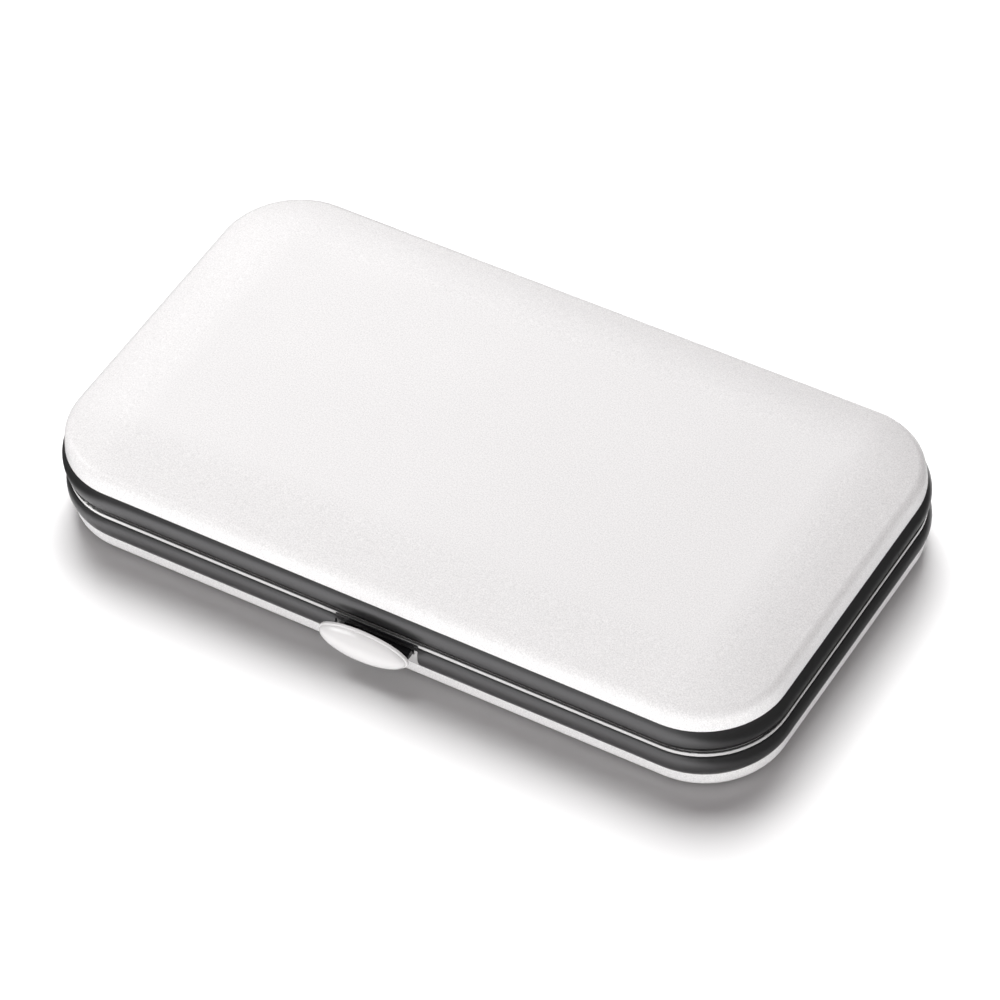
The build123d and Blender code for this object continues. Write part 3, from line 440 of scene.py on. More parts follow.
# the two frames and the rim trim get painted shade near the seam where lid and base meet; their flat mating faces
# stay unshaded
upper_gunmetal = make_seam_shaded_metal(
    "upper_gunmetal", GUNMETAL, 0.34, 0.9, lid_edge + SEAM_DEPTH + SEAM_EDGE, lid_edge + SEAM_DEPTH, lid_edge,
)
lower_gunmetal = make_seam_shaded_metal(
    "lower_gunmetal", GUNMETAL, 0.34, 0.9, base_edge - 3 * SEAM_EDGE, base_edge, base_edge,
)
trim_nickel = make_seam_shaded_metal(
    "trim_nickel", NICKEL, 0.2, 0.6, trim_edge - 2 * SEAM_EDGE, trim_edge - SEAM_EDGE, trim_edge,
)

FINISH = {
    "cover": pearl_cover,
    "frame": lower_gunmetal,
    "bright_trim": bright_nickel,
    "hinge": satin_steel,
    "button": pearl_button,
    "slide": black_slide,
    "spring": satin_steel,
    "liner": black_leather,
    "elastic": black_elastic,
    "tool_steel": tool_steel,
    "file_grit": file_steel,
    "handle": pearl_button,
}
SLOT_OF = {row["node"]: row["material_slot"] for row in frame["record"]["subparts"]}


def finish_node(name):
    """Give a CAD node the finish of its slot."""
    mesh = nodes[name].data
    mesh.materials.clear()
    mesh.materials.append(FINISH[SLOT_OF[name]])


for node_name in nodes:
    finish_node(node_name)
nodes["upper_frame"].data.materials[0] = upper_gunmetal
nodes["rim_trim"].data.materials[0] = trim_nickel


# how far the edges of stamped and ground pieces are eased
EDGE_EASE = {
    "pusher_handle": 1.0, "file_handle": 1.0,
    "scissor_half_fixed": 0.5, "scissor_half_moving": 0.5, "scissor_screw": 0.25,
    "tweezer_arm_lower": 0.22, "tweezer_arm_upper": 0.22, "pusher_blade": 0.35, "file_blade": 0.15,
    "clipper_lower_jaw": 0.25, "clipper_upper_jaw": 0.25, "clipper_lever": 0.3, "clipper_post": 0.3,
    "hinge_pin": 0.15,
    "lower_hinge_rivets": 0.2, "upper_hinge_rivets": 0.2, "catch_spring_rivets": 0.2, "tongue_rivets": 0.2,
    "latch_tongue": 0.12, "slide_keeper": 0.08, "button_slide": 0.12, "clasp_plate": 0.08,
}
WELD_REACH = 0.002 * MM
EDGE_ANGLE = math.radians(32)


def ease_edges(name, width):
    """Round the sharp edges of a CAD node by modifiers alone."""
    piece = nodes[name]
    weld = piece.modifiers.new("weld", "WELD")
    weld.merge_threshold = WELD_REACH
    bevel = piece.modifiers.new("eased_edges", "BEVEL")
    bevel.width = width * MM
    bevel.segments = 3
    bevel.limit_method = "ANGLE"
    bevel.angle_limit = EDGE_ANGLE
    bevel.harden_normals = True


for node_name, width in EDGE_EASE.items():
    ease_edges(node_name, width)


# ---------------------------------------------------------------- leather liners

def add_piece(name, vertices, faces, material, body):
    """New smooth mesh piece with one finish, which moves with a body unless that is None."""
    mesh = bpy.data.meshes.new(name)
    mesh.from_pydata(vertices, [], faces)
    mesh.materials.append(material)
    mesh.polygons.foreach_set("use_smooth", [True] * len(mesh.polygons))
    piece = bpy.data.objects.new(name, mesh)
    bpy.context.scene.collection.objects.link(piece)
    if body:
        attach(piece, body)
    return piece


SIDE_STEP = 0.7 * MM
ARC_STEPS = 14


def rounded_loop(corners, side_steps):
    """Points round a closed outline of (x, y, fillet radius) corners, the same count for any inset."""
    bends = []
    for index, (x, y, radius) in enumerate(corners):
        here = Vector((x, y))
        to_last = (Vector(corners[index - 1][:2]) - here).normalized()
        to_next = (Vector(corners[(index + 1) % len(corners)][:2]) - here).normalized()
        centre = here + (to_last + to_next) * radius
        bends.append([
            centre - to_next * radius * math.cos(turn) - to_last * radius * math.sin(turn)
            for turn in (math.pi / 2 * step / ARC_STEPS for step in range(ARC_STEPS + 1))
        ])
    points = []
    for bend, following, steps in zip(bends, bends[1:] + bends[:1], side_steps):
        points += bend
        points += [bend[-1].lerp(following[0], step / steps) for step in range(1, steps)]
    return points


def steps_between(corners):
    """How many steps each straight run of an outline takes."""
    return [
        max(2, round((Vector(corner[:2]) - Vector(following[:2])).length / SIDE_STEP))
        for corner, following in zip(corners, corners[1:] + corners[:1])
    ]


# rise of the panel's face over its back, as a share of its thickness, at insets from its edge
PANEL_PROFILE = (
    (0.25, 0.0), (0.08, 0.05), (0.0, 0.2), (0.0, 0.5), (0.08, 0.7), (0.25, 0.84), (0.5, 0.92), (0.9, 0.965),
    (1.4, 0.97), (1.8, 0.94), (2.1, 0.87), (2.3, 0.77), (2.45, 0.68), (2.6, 0.65), (2.75, 0.68), (2.9, 0.77),
    (3.1, 0.86), (3.4, 0.92), (3.8, 0.95), (4.4, 0.97),
)
SEAM_INSET = 2.6 * MM
STITCH_PITCH = 2.6 * MM
PUCKER_REACH = 1.6 * MM
PUCKER_DEPTH = 0.07
SWELL_DEPTH = 0.05
FILL_STEP = 2.5 * MM


def path_lengths(points):
    """Distance along a closed line to each of its points."""
    lengths = [0.0]
    for before, after in zip(points, points[1:]):
        lengths.append(lengths[-1] + (after - before).length)
    return lengths


def padded_panel(name, outline_at, back_z, face_z, body):
    """Leather panel over thin foam, with a stitched seam near its edge that draws the leather in."""
    side_steps = steps_between(outline_at(0.0))
    seam = rounded_loop(outline_at(SEAM_INSET), side_steps)
    along = path_lengths(seam)
    count = len(seam)
    vertices = []
    for inset, rise in PANEL_PROFILE:
        inset *= MM
        near_seam = max(0.0, 1 - abs(inset - SEAM_INSET) / PUCKER_REACH)
        for point, distance in zip(rounded_loop(outline_at(inset), side_steps), along):
            pucker = PUCKER_DEPTH * near_seam * rise * (math.cos(2 * math.pi * distance / STITCH_PITCH) - 1) / 2
            vertices.append((point.x, point.y, back_z + (face_z - back_z) * (rise + pucker)))
    faces = [tuple(reversed(range(count)))]
    for ring in range(len(PANEL_PROFILE) - 1):
        for index in range(count):
            following = (index + 1) % count
            low, high = ring * count, (ring + 1) * count
            faces.append((low + index, low + following, high + following, high + index))
    last = (len(PANEL_PROFILE) - 1) * count
    add_panel_fill(vertices, faces, last, count, face_z, face_z - back_z)
    if face_z < back_z:
        faces = [tuple(reversed(face)) for face in faces]
    panel = add_piece(name, vertices, faces, black_leather, body)
    return panel, seam


def add_panel_fill(vertices, faces, first, count, face_z, thickness):
    """Close the face inside the last ring with a net that swells and dips a little."""
    edge = [Vector(vertices[first + index][:2]) for index in range(count)]
    low_x, high_x = min(p.x for p in edge), max(p.x for p in edge)
    low_y, high_y = min(p.y for p in edge), max(p.y for p in edge)
    inner = [
        Vector((low_x + FILL_STEP * column, low_y + FILL_STEP * row))
        for column in range(1, int((high_x - low_x) / FILL_STEP))
        for row in range(1, int((high_y - low_y) / FILL_STEP))
    ]
    ring = [(index, (index + 1) % count) for index in range(count)]
    net = geometry.delaunay_2d_cdt(edge + inner, ring, [list(range(count))], 1, 1e-7)
    places, net_faces, sources = net[0], net[2], net[3]
    number = {}
    for index in sorted({corner for face in net_faces for corner in face}):
        place = places[index]
        from_edge = [item for item in sources[index] if item < count]
        if from_edge:
            number[index] = first + from_edge[0]
            continue
        number[index] = len(vertices)
        swell = noise.noise(Vector((place.x, place.y, face_z)) / (14 * MM))
        share = PANEL_PROFILE[-1][1] + SWELL_DEPTH * (swell - 1) / 2
        vertices.append((place.x, place.y, face_z - thickness * (1 - share)))
    faces.extend(tuple(number[index] for index in face) for face in net_faces)


# ---------------------------------------------------------------- thread stitches

THREAD_RADIUS = 0.11 * MM
THREAD_SIDES = 6
STITCH_FILL = 0.68
STITCH_RISE = 0.16 * MM
STITCH_BURY = 0.12 * MM
STITCH_STEPS = 6
SEAM_SAMPLES = 25


def add_stitch(vertices, faces, start, end, out):
    """One bowed thread from start to end whose ends dive into the leather; out points away from it."""
    run = end - start
    side = run.cross(out).normalized()
    first = len(vertices)
    for step in range(STITCH_STEPS + 1):
        share = step / STITCH_STEPS
        bow = math.sin(math.pi * share)
        centre = start + run * share + out * (STITCH_RISE * bow - STITCH_BURY)
        for corner in range(THREAD_SIDES):
            turn = 2 * math.pi * corner / THREAD_SIDES
            vertices.append(centre + (side * math.cos(turn) + out * math.sin(turn)) * THREAD_RADIUS)
    for step in range(STITCH_STEPS):
        for corner in range(THREAD_SIDES):
            following = (corner + 1) % THREAD_SIDES
            low, high = first + step * THREAD_SIDES, first + (step + 1) * THREAD_SIDES
            faces.append((low + corner, low + following, high + following, high + corner))
    faces.append(tuple(first + corner for corner in reversed(range(THREAD_SIDES))))
    last = first + STITCH_STEPS * THREAD_SIDES
    faces.append(tuple(last + corner for corner in range(THREAD_SIDES)))


def stitch_piece(name, runs, out, body):
    """All the stitches of one seam as one piece; runs are (start, end) pairs."""
    vertices, faces = [], []
    for start, end in runs:
        add_stitch(vertices, faces, start, end, out)
    return add_piece(name, vertices, faces, seam_thread, body)


def seam_runs(seam, height):
    """Stitches at an even pitch along a closed seam line."""
    closed = seam + seam[:1]
    total = path_lengths(closed)[-1]
    count = round(total / STITCH_PITCH)
    ends = even_points(closed, 2 * count * SEAM_SAMPLES + 1)
    runs = []
    for index in range(count):
        start = ends[2 * index * SEAM_SAMPLES]
        end = ends[round((2 * index + 2 * STITCH_FILL) * SEAM_SAMPLES)]
        runs.append((start.to_3d() + height, end.to_3d() + height))
    return runs


# ---------------------------------------------------------------- elastic straps

STRAP_THICKNESS = 0.5 * MM
STRAP_CLEARANCE = 0.22 * MM
STRAP_SIDE = 0.75 * MM
STRAP_TAIL = 2.0 * MM
STRAP_SPACING = 0.3 * MM
TAUT_STEPS = 36
SOFTEN_ROUNDS = 3
# across the strap: place as a share of its half width, and share of its thickness there
STRAP_SECTION = (
    (-1.0, 0.0), (-0.985, 0.55), (-0.95, 0.85), (-0.88, 1.0), (-0.6, 0.94), (-0.3, 0.92), (0.0, 0.92),
    (0.3, 0.92), (0.6, 0.94), (0.88, 1.0), (0.95, 0.85), (0.985, 0.55), (1.0, 0.0),
)


def even_points(line, count):
    """Points spread evenly along a line."""
    lengths = path_lengths(line)
    spread = []
    span = 0
    for index in range(count):
        target = lengths[-1] * index / (count - 1)
        while span < len(line) - 2 and lengths[span + 1] < target:
            span += 1
        run = lengths[span + 1] - lengths[span]
        spread.append(line[span].lerp(line[span + 1], (target - lengths[span]) / run if run else 0.0))
    return spread


def softened(line):
    """The line with its corners eased and its ends kept."""
    for _ in range(SOFTEN_ROUNDS):
        line = [line[0]] + [
            (before + 2 * here + after) / 4 for before, here, after in zip(line, line[1:], line[2:])
        ] + [line[-1]]
    return line


SCISSOR_JOINT = next(joint for joint in frame["joints"] if joint["name"] == "scissor_pivot")
SCISSOR_TURNS = [math.radians(turn) for turn in SCISSOR_JOINT["range_deg"]]


def places_taken(name):
    """The places of a node's vertices, once for each end of its travel under a strap."""
    places = [vertex.co for vertex in nodes[name].data.vertices]
    if name != "scissor_half_moving":
        return [places]
    pivot = Vector(SCISSOR_JOINT["pos_m"])
    turns = [Matrix.Rotation(turn, 3, "Z") for turn in SCISSOR_TURNS]
    return [[pivot + turn @ (place - pivot) for place in places] for turn in turns]


def cut_corners(names, cuts, liner_z, facing):
    """Where the planes at some x cut some nodes, as (y, height over the liner)."""
    corners = []
    for name in names:
        for places in places_taken(name):
            for edge in nodes[name].data.edges:
                low, high = sorted((places[index] for index in edge.vertices), key=lambda place: place.x)
                for x in cuts:
                    if low.x <= x < high.x:
                        place = low.lerp(high, (x - low.x) / (high.x - low.x))
                        corners.append(Vector((place.y, facing * (place.z - liner_z))))
    return corners


def taut_line(corners, left, right):
    """Line of an elastic pulled over the corners between two stitched places on the liner."""
    rise = STRAP_THICKNESS / 2
    reach = STRAP_CLEARANCE + rise
    held = [(corner, reach) for corner in corners]
    held += [(Vector((left, rise)), 0.0), (Vector((right, rise)), 0.0)]
    line = []
    for step in range(TAUT_STEPS + 1):
        turn = math.pi * (1 - step / TAUT_STEPS)
        normal = Vector((math.cos(turn), math.sin(turn)))
        corner, gap = max(held, key=lambda item: item[0].dot(normal) + item[1])
        line.append(corner + normal * gap)
    return line


def strap_line(tools, cuts, liner_z, facing):
    """Whole line of a strap's edge: a tail, an arch over each group of nodes, and a tail."""
    line = []
    for names, left, right in tools:
        line += taut_line(cut_corners(names, cuts, liner_z, facing), left, right)
    first, last = tools[0][1], tools[-1][2]
    rise = STRAP_THICKNESS / 2
    return [Vector((first - STRAP_TAIL, rise)), *line, Vector((last + STRAP_TAIL, rise))]


def band_faces(count, sides):
    """Faces of a closed band: its two ends and its sides between each ring and the following one."""
    faces = [tuple(range(sides)), tuple(reversed(range((count - 1) * sides, count * sides)))]
    for index in range(count - 1):
        for corner in range(sides):
            following = (corner + 1) % sides
            here, there = index * sides, (index + 1) * sides
            faces.append((here + corner, there + corner, there + following, here + following))
    return faces


def elastic_strap(node, tools, stations, liner_z, facing, body):
    """Woven elastic that stands for a node: tools are (nodes, left, right), stations its two edges' cuts."""
    low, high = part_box(node)
    edges = [strap_line(tools, cuts, liner_z, facing) for cuts in stations]
    count = round(path_lengths(edges[0])[-1] / STRAP_SPACING)
    left_line, right_line = (softened(even_points(edge, count)) for edge in edges)
    ring = [(place, share / 2) for place, share in STRAP_SECTION]
    ring += [(place, -share / 2) for place, share in reversed(STRAP_SECTION[1:-1])]
    vertices, weave = [], []
    distance = path_lengths(left_line)
    half_width = (high.x - low.x) / 2
    for index in range(count):
        for place, share in ring:
            blend = (place + 1) / 2
            before, here, after = (
                left_line[at].lerp(right_line[at], blend)
                for at in (max(index - 1, 0), index, min(index + 1, count - 1))
            )
            along = (after - before).normalized()
            spot = here + Vector((-along.y, along.x)) * share * STRAP_THICKNESS
            x = (low.x + high.x) / 2 + place * half_width
            vertices.append((x, spot.x, liner_z + facing * spot.y))
            weave.append((place * half_width, distance[index], 0.0))
    faces = band_faces(count, len(ring))
    if facing < 0:
        faces = [tuple(reversed(face)) for face in faces]
    strap = add_piece(node + "_band", vertices, faces, black_elastic, body)
    attribute = strap.data.attributes.new(WEAVE_PLACE, "FLOAT_VECTOR", "POINT")
    attribute.data.foreach_set("vector", [value for place in weave for value in place])
    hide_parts(node)
    return strap


# ---------------------------------------------------------------- liners, their seams and straps in place

def panel_outline(low, high, radius):
    """Corners of a panel's outline as a function of how far it is drawn in."""
    def outline_at(inset):
        left, right = low.x + inset, high.x - inset
        front, back = low.y + inset, high.y - inset
        bend = radius - inset
        return [(right, front, bend), (right, back, bend), (left, back, bend), (left, front, bend)]
    return outline_at


def notched_outline(low, high, radius, notch_half_width, notch_end):
    """The same with a notch at the middle of the front for the clasp."""
    plain = panel_outline(low, high, radius)

    def outline_at(inset):
        side, end = notch_half_width + inset, notch_end + inset
        front = low.y + inset
        notch = [
            (-side, front, NOTCH_MOUTH_RADIUS), (-side, end, NOTCH_MOUTH_RADIUS + inset),
            (side, end, NOTCH_MOUTH_RADIUS + inset), (side, front, NOTCH_MOUTH_RADIUS),
        ]
        return notch + plain(inset)
    return outline_at


LINER_CORNER_RADIUS = 10.7 * MM
NOTCH_MOUTH_RADIUS = 0.8 * MM
NOTCH_HALF_WIDTH = 6.0 * MM
NOTCH_CLEARANCE = 0.6 * MM

base_low, base_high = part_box("base_liner")
lid_low, lid_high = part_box("lid_liner")
notch_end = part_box("catch_spring")[1].y + NOTCH_CLEARANCE
base_outline = notched_outline(base_low, base_high, LINER_CORNER_RADIUS, NOTCH_HALF_WIDTH, notch_end)
lid_outline = panel_outline(lid_low, lid_high, LINER_CORNER_RADIUS)
UP = Vector((0, 0, 1))
DOWN = -UP
SEAM_SHARE = 0.65


def lay_panel(node, outline_at, back_z, face_z, body):
    """A liner's panel with the stitches of its seam."""
    panel, seam = padded_panel(node + "_padding", outline_at, back_z, face_z, body)
    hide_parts(node)
    seam_z = back_z + SEAM_SHARE * (face_z - back_z)
    out = UP if face_z > back_z else DOWN
    stitch_piece(node + "_stitches", seam_runs(seam, Vector((0, 0, seam_z))), out, body)


lay_panel("base_liner", base_outline, base_low.z, base_high.z, "base")
lay_panel("lid_liner", lid_outline, lid_high.z, lid_low.z, "lid")



ROW_STITCHES = 6
ROW_MARGIN = 0.5 * MM


def lay_strap(node, groups, stations, liner_z, facing, body):
    """A strap with the rows of stitches that hold it down beside each group of tools."""
    low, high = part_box(node)
    tools = []
    for names in groups:
        corners = [corner for cuts in stations for corner in cut_corners(names, cuts, liner_z, facing)]
        left, right = (pick(corner.x for corner in corners) for pick in (min, max))
        tools.append((names, left - STRAP_SIDE, right + STRAP_SIDE))
    elastic_strap(node, tools, stations, liner_z, facing, body)
    rows = [tools[0][1] - STRAP_TAIL / 2, tools[-1][2] + STRAP_TAIL / 2]
    rows += [(here[2] + following[1]) / 2 for here, following in zip(tools, tools[1:])]
    row_z = liner_z + facing * STRAP_THICKNESS
    pitch = (high.x - low.x - 2 * ROW_MARGIN) / ROW_STITCHES
    runs = []
    for y in rows:
        for index in range(ROW_STITCHES):
            start = low.x + ROW_MARGIN + pitch * (index + (1 - STITCH_FILL) / 2)
            runs.append((Vector((start, y, row_z)), Vector((start + pitch * STITCH_FILL, y, row_z))))
    stitch_piece(node + "_stitches", runs, UP * facing, body)


def strap_edges(node):
    """The cuts of a strap's two edges, each at its own x."""
    low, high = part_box(node)
    return (low.x,), (high.x,)


TWEEZERS = ("tweezer_arm_lower", "tweezer_arm_upper")
CLIPPER = ("clipper_lower_jaw", "clipper_upper_jaw", "clipper_lever")
SCISSORS = ("scissor_half_fixed", "scissor_half_moving", "scissor_screw")
left_tools = (TWEEZERS, ("pusher_handle",), ("file_handle",))
right_tools = (TWEEZERS, ("pusher_blade",), ("file_blade",))
scissor_low, scissor_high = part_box("scissor_elastic")
scissor_cuts = (scissor_low.x, (scissor_low.x + scissor_high.x) / 2, scissor_high.x)
lay_strap("tool_elastic_left", left_tools, strap_edges("tool_elastic_left"), base_high.z, 1, "base")
lay_strap("tool_elastic_right", right_tools, strap_edges("tool_elastic_right"), base_high.z, 1, "base")
lay_strap("clipper_elastic", (CLIPPER,), strap_edges("clipper_elastic"), base_high.z, 1, "base")
lay_strap("scissor_elastic", (SCISSORS,), (scissor_cuts, scissor_cuts), lid_low.z, -1, "lid")


# ---------------------------------------------------------------- catch spring, bent to its hook

SPRING_SHEET = 0.3 * MM
SPRING_HOOK = 0.95 * MM
SPRING_HALF_WIDTH = 3.2 * MM
SPRING_TAPER = 1.0 * MM
SPRING_BEND = 0.45 * MM
SPRING_SPACING = 0.12 * MM


def turned_corner(before, corner, after):
    """Points round a square corner of a bent strip."""
    start, end = ((other - corner).normalized() * SPRING_BEND for other in (before, after))
    centre = corner + start + end
    return [
        centre - end * math.cos(turn) - start * math.sin(turn)
        for turn in (math.pi / 2 * step / ARC_STEPS for step in range(ARC_STEPS + 1))
    ]


def bent_spring():
    """Sprung strip from its riveted foot to its hook, in its resting shape only; in the real case it yields to the
    button's slide.
    """
    low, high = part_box("catch_spring")
    middle = SPRING_SHEET / 2
    wall_y = low.y + SPRING_HOOK + middle
    foot, heel = Vector((high.y, low.z + middle)), Vector((wall_y, low.z + middle))
    head, hook = Vector((wall_y, high.z - middle)), Vector((low.y, high.z - middle))
    line = [foot, *turned_corner(foot, heel, head), *turned_corner(heel, head, hook), hook]
    count = round(path_lengths(line)[-1] / SPRING_SPACING)
    path = even_points(line, count)
    ring = [(place, share / 2) for place, share in STRAP_SECTION]
    ring += [(place, -share / 2) for place, share in reversed(STRAP_SECTION[1:-1])]
    vertices = []
    for index, here in enumerate(path):
        along = (path[min(index + 1, count - 1)] - path[max(index - 1, 0)]).normalized()
        taper = min(max((here.x - wall_y) / SPRING_TAPER, 0.0), 1.0)
        half_width = SPRING_HALF_WIDTH + (high.x - SPRING_HALF_WIDTH) * taper
        for place, share in ring:
            spot = here + Vector((-along.y, along.x)) * share * SPRING_SHEET
            vertices.append((place * half_width, spot.x, spot.y))
    strip = add_piece("catch_spring_strip", vertices, band_faces(count, len(ring)), satin_steel, None)
    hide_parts("catch_spring")
    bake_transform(strip)
    return strip


spring_strip = bent_spring()


# ---------------------------------------------------------------- dark lip over the clasp's window

LIP_HEIGHT = 0.42 * MM
LIP_OVERLAP = 0.25 * MM
LIP_RADIUS = 0.2 * MM
LIP_SINK = 0.05 * MM
# how far the lip's outline is drawn in, and how far it stands out, in millimetres
LIP_PROFILE = ((0.0, 0.0), (0.0, 0.11), (0.02, 0.15), (0.06, 0.17))


def clasp_lip():
    """Thin dark lip on the rim above the button's window."""
    plate_low, plate_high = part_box("clasp_plate")
    rim_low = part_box("rim_trim")[0]
    back_y = rim_low.y + LIP_SINK
    outline_at = panel_outline(
        Vector((plate_low.x, rim_low.z - LIP_OVERLAP)), Vector((plate_high.x, rim_low.z + LIP_HEIGHT)), LIP_RADIUS,
    )
    side_steps = steps_between(outline_at(0.0))
    vertices = []
    for inset, proud in LIP_PROFILE:
        loop = rounded_loop(outline_at(inset * MM), side_steps)
        vertices += [(point.x, back_y - proud * MM, point.y) for point in loop]
    count = len(loop)
    last = (len(LIP_PROFILE) - 1) * count
    faces = [tuple(reversed(range(count))), tuple(range(last, last + count))]
    for low in range(0, last, count):
        high = low + count
        for index in range(count):
            following = (index + 1) % count
            faces.append((low + index, low + following, high + following, high + index))
    add_piece("clasp_lip", vertices, faces, black_slide, "base")


clasp_lip()


# ---------------------------------------------------------------- floor and light

def area_light(name, azimuth, elevation, distance, size, irradiance):
    """Soft lamp aimed at the case; irradiance is what it gives a surface that faces it, where 1 shows a colour as is."""
    data = bpy.data.lights.new(name, "AREA")
    data.shape = "SQUARE"
    data.size = size
    data.energy = irradiance * math.pi * math.pi * distance ** 2
    lamp = bpy.data.objects.new(name, data)
    bpy.context.scene.collection.objects.link(lamp)
    turn, rise = math.radians(azimuth), math.radians(elevation)
    towards = Vector((math.sin(turn) * math.cos(rise), -math.cos(turn) * math.cos(rise), math.sin(rise)))
    lamp.location = towards * distance
    lamp.rotation_euler = towards.to_track_quat("Z", "Y").to_euler()
    return lamp


floor_key = area_light("floor_key", -151.0, 59.0, 0.75, 0.53, 2.35)
front_strip = area_light("front_strip", 24.0, 20.0, 0.9, 0.45, 0.48)
bounce_card = area_light("bounce_card", 24.0, -10.0, 0.9, 0.45, 0.13)
back_left_box = area_light("back_left_box", -140.0, 35.0, 0.9, 0.45, 0.38)
left_top_box = area_light("left_top_box", -80.0, 46.0, 0.9, 0.45, 0.37)
for lamp in (front_strip, bounce_card):
    lamp.visible_glossy = False

world = bpy.data.worlds.new("studio")
world.use_nodes = True
bpy.context.scene.world = world
AMBIENT = (0.38, 0.359, 0.364, 1.0)
DIM = (0.14, 0.135, 0.137, 1.0)
SOFTBOX = (0.95, 0.945, 0.94, 1.0)
WHITE = (1.0, 1.0, 1.0, 1.0)
OVERHEAD = Vector((-0.45, -0.1, 0.85)).normalized()
studio = world.node_tree
background = studio.nodes["Background"]
paths = studio.nodes.new("ShaderNodeLightPath")
direction = studio.nodes.new("ShaderNodeTexCoord").outputs["Generated"]
facing_light = studio.nodes.new("ShaderNodeVectorMath")
facing_light.operation = "DOT_PRODUCT"
studio.links.new(direction, facing_light.inputs[0])
facing_light.inputs[1].default_value = OVERHEAD
screen = studio.nodes.new("ShaderNodeMapRange")
screen.interpolation_type = "SMOOTHSTEP"
screen.inputs["From Min"].default_value = 0.35
screen.inputs["From Max"].default_value = 0.8
studio.links.new(facing_light.outputs["Value"], screen.inputs["Value"])


def mixed(tree, share, first, second):
    """Colour mixed by a share; the colours are values or sockets."""
    mix = tree.nodes.new("ShaderNodeMixRGB")
    tree.links.new(share, mix.inputs["Fac"])
    for label, colour in (("Color1", first), ("Color2", second)):
        if isinstance(colour, bpy.types.NodeSocket):
            tree.links.new(colour, mix.inputs[label])
        else:
            mix.inputs[label].default_value = colour
    return mix.outputs["Color"]


reflected = mixed(studio, screen.outputs["Result"], DIM, SOFTBOX)
lit_or_reflected = mixed(studio, paths.outputs["Is Glossy Ray"], AMBIENT, reflected)
seen = math_node(studio, "MAXIMUM", paths.outputs["Is Camera Ray"], paths.outputs["Is Transmission Ray"])
studio.links.new(mixed(studio, seen, lit_or_reflected, WHITE), background.inputs["Color"])

FLOOR_HALF = 3.0
floor_mesh = bpy.data.meshes.new("floor")
floor_mesh.from_pydata(
    [(-FLOOR_HALF, -FLOOR_HALF, 0), (FLOOR_HALF, -FLOOR_HALF, 0), (FLOOR_HALF, FLOOR_HALF, 0), (-FLOOR_HALF, FLOOR_HALF, 0)],
    [],
    [(0, 1, 2, 3)],
)
floor = bpy.data.objects.new("floor", floor_mesh)
bpy.context.scene.collection.objects.link(floor)
floor_material, floor_tree, floor_shader = principled("floor_white")
# seen in gloss, the floor is dark beside the case
FLOOR_WHITE = (0.66, 0.66, 0.66, 1.0)
FLOOR_DARK = (0.03, 0.03, 0.03, 1.0)
DARK_FROM = 54.0 * MM
DARK_TO = 64.0 * MM
floor_place = floor_tree.nodes.new("ShaderNodeSeparateXYZ")
floor_spot = floor_tree.nodes.new("ShaderNodeTexCoord").outputs["Object"]
floor_tree.links.new(floor_spot, floor_place.inputs[0])
to_side = floor_tree.nodes.new("ShaderNodeMapRange")
to_side.inputs["From Min"].default_value = DARK_FROM
to_side.inputs["From Max"].default_value = DARK_TO
floor_tree.links.new(math_node(floor_tree, "ABSOLUTE", floor_place.outputs["X"]), to_side.inputs["Value"])
floor_paths = floor_tree.nodes.new("ShaderNodeLightPath")
floor_share = math_node(floor_tree, "MULTIPLY", floor_paths.outputs["Is Glossy Ray"], to_side.outputs["Result"])
floor_tree.links.new(mixed(floor_tree, floor_share, FLOOR_WHITE, FLOOR_DARK), floor_shader.inputs["Base Color"])
floor_shader.inputs["Roughness"].default_value = 0.9
floor_shader.inputs["Specular IOR Level"].default_value = 0.0
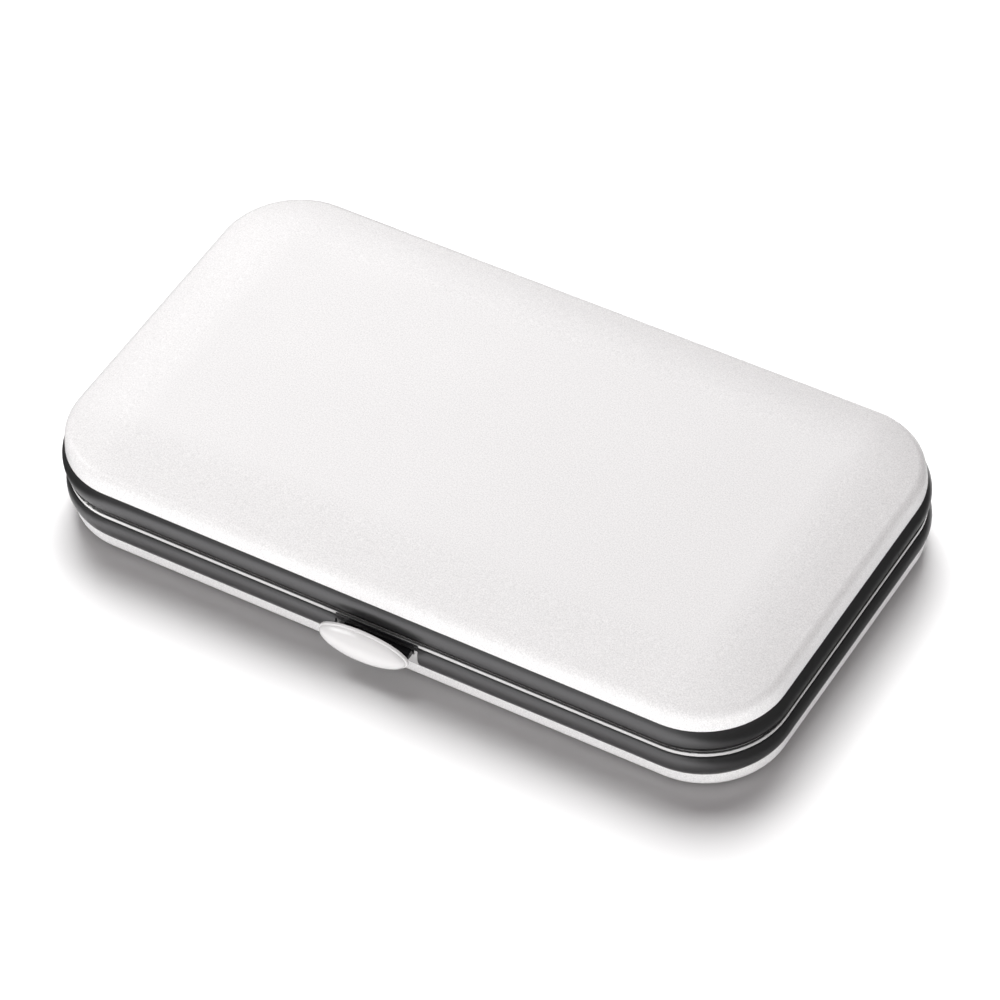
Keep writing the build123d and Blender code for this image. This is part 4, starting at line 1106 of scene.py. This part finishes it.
# far from the case the camera sees the floor plain white, up to the horizon
FADE_FROM = 0.14
FADE_TO = 0.32
far_out = floor_tree.nodes.new("ShaderNodeVectorMath")
far_out.operation = "LENGTH"
floor_tree.links.new(floor_spot, far_out.inputs[0])
to_white = floor_tree.nodes.new("ShaderNodeMapRange")
to_white.interpolation_type = "SMOOTHSTEP"
to_white.inputs["From Min"].default_value = FADE_FROM
to_white.inputs["From Max"].default_value = FADE_TO
floor_tree.links.new(far_out.outputs["Value"], to_white.inputs["Value"])
white_share = math_node(floor_tree, "MULTIPLY", floor_paths.outputs["Is Camera Ray"], to_white.outputs["Result"])
plain_white = floor_tree.nodes.new("ShaderNodeEmission")
floor_look = floor_tree.nodes.new("ShaderNodeMixShader")
floor_tree.links.new(white_share, floor_look.inputs[0])
floor_tree.links.new(floor_shader.outputs["BSDF"], floor_look.inputs[1])
floor_tree.links.new(plain_white.outputs["Emission"], floor_look.inputs[2])
floor_tree.links.new(floor_look.outputs["Shader"], floor_tree.nodes["Material Output"].inputs["Surface"])
floor_mesh.materials.append(floor_material)

# one lamp throws the shadow on the floor, and the others light the case alone
with_floor = bpy.data.collections.new("floor_and_nothing_else")
with_floor.objects.link(floor)
floor_key.light_linking.receiver_collection = with_floor
not_in_shadow = bpy.data.collections.new("throws_no_shadow_on_the_floor")
not_in_shadow.objects.link(nodes["push_button"])
not_in_shadow.collection_objects[0].light_linking.link_state = "EXCLUDE"
floor_key.light_linking.blocker_collection = not_in_shadow
STEEL_SLOTS = ("tool_steel", "file_grit", "hinge", "spring")
without_floor = bpy.data.collections.new("all_but_the_floor_and_steel")
steels = [nodes[name] for name in sorted(nodes) if SLOT_OF[name] in STEEL_SLOTS]
for thing in [floor, spring_strip] + steels:
    without_floor.objects.link(thing)
for member in without_floor.collection_objects:
    member.light_linking.link_state = "EXCLUDE"
for lamp in (front_strip, bounce_card, back_left_box, left_top_box):
    lamp.light_linking.receiver_collection = without_floor
floor_throws_none = bpy.data.collections.new("floor_stops_no_light_of_the_card")
floor_throws_none.objects.link(floor)
floor_throws_none.collection_objects[0].light_linking.link_state = "EXCLUDE"
bounce_card.light_linking.blocker_collection = floor_throws_none

scene = bpy.context.scene
scene.view_settings.view_transform = "Standard"
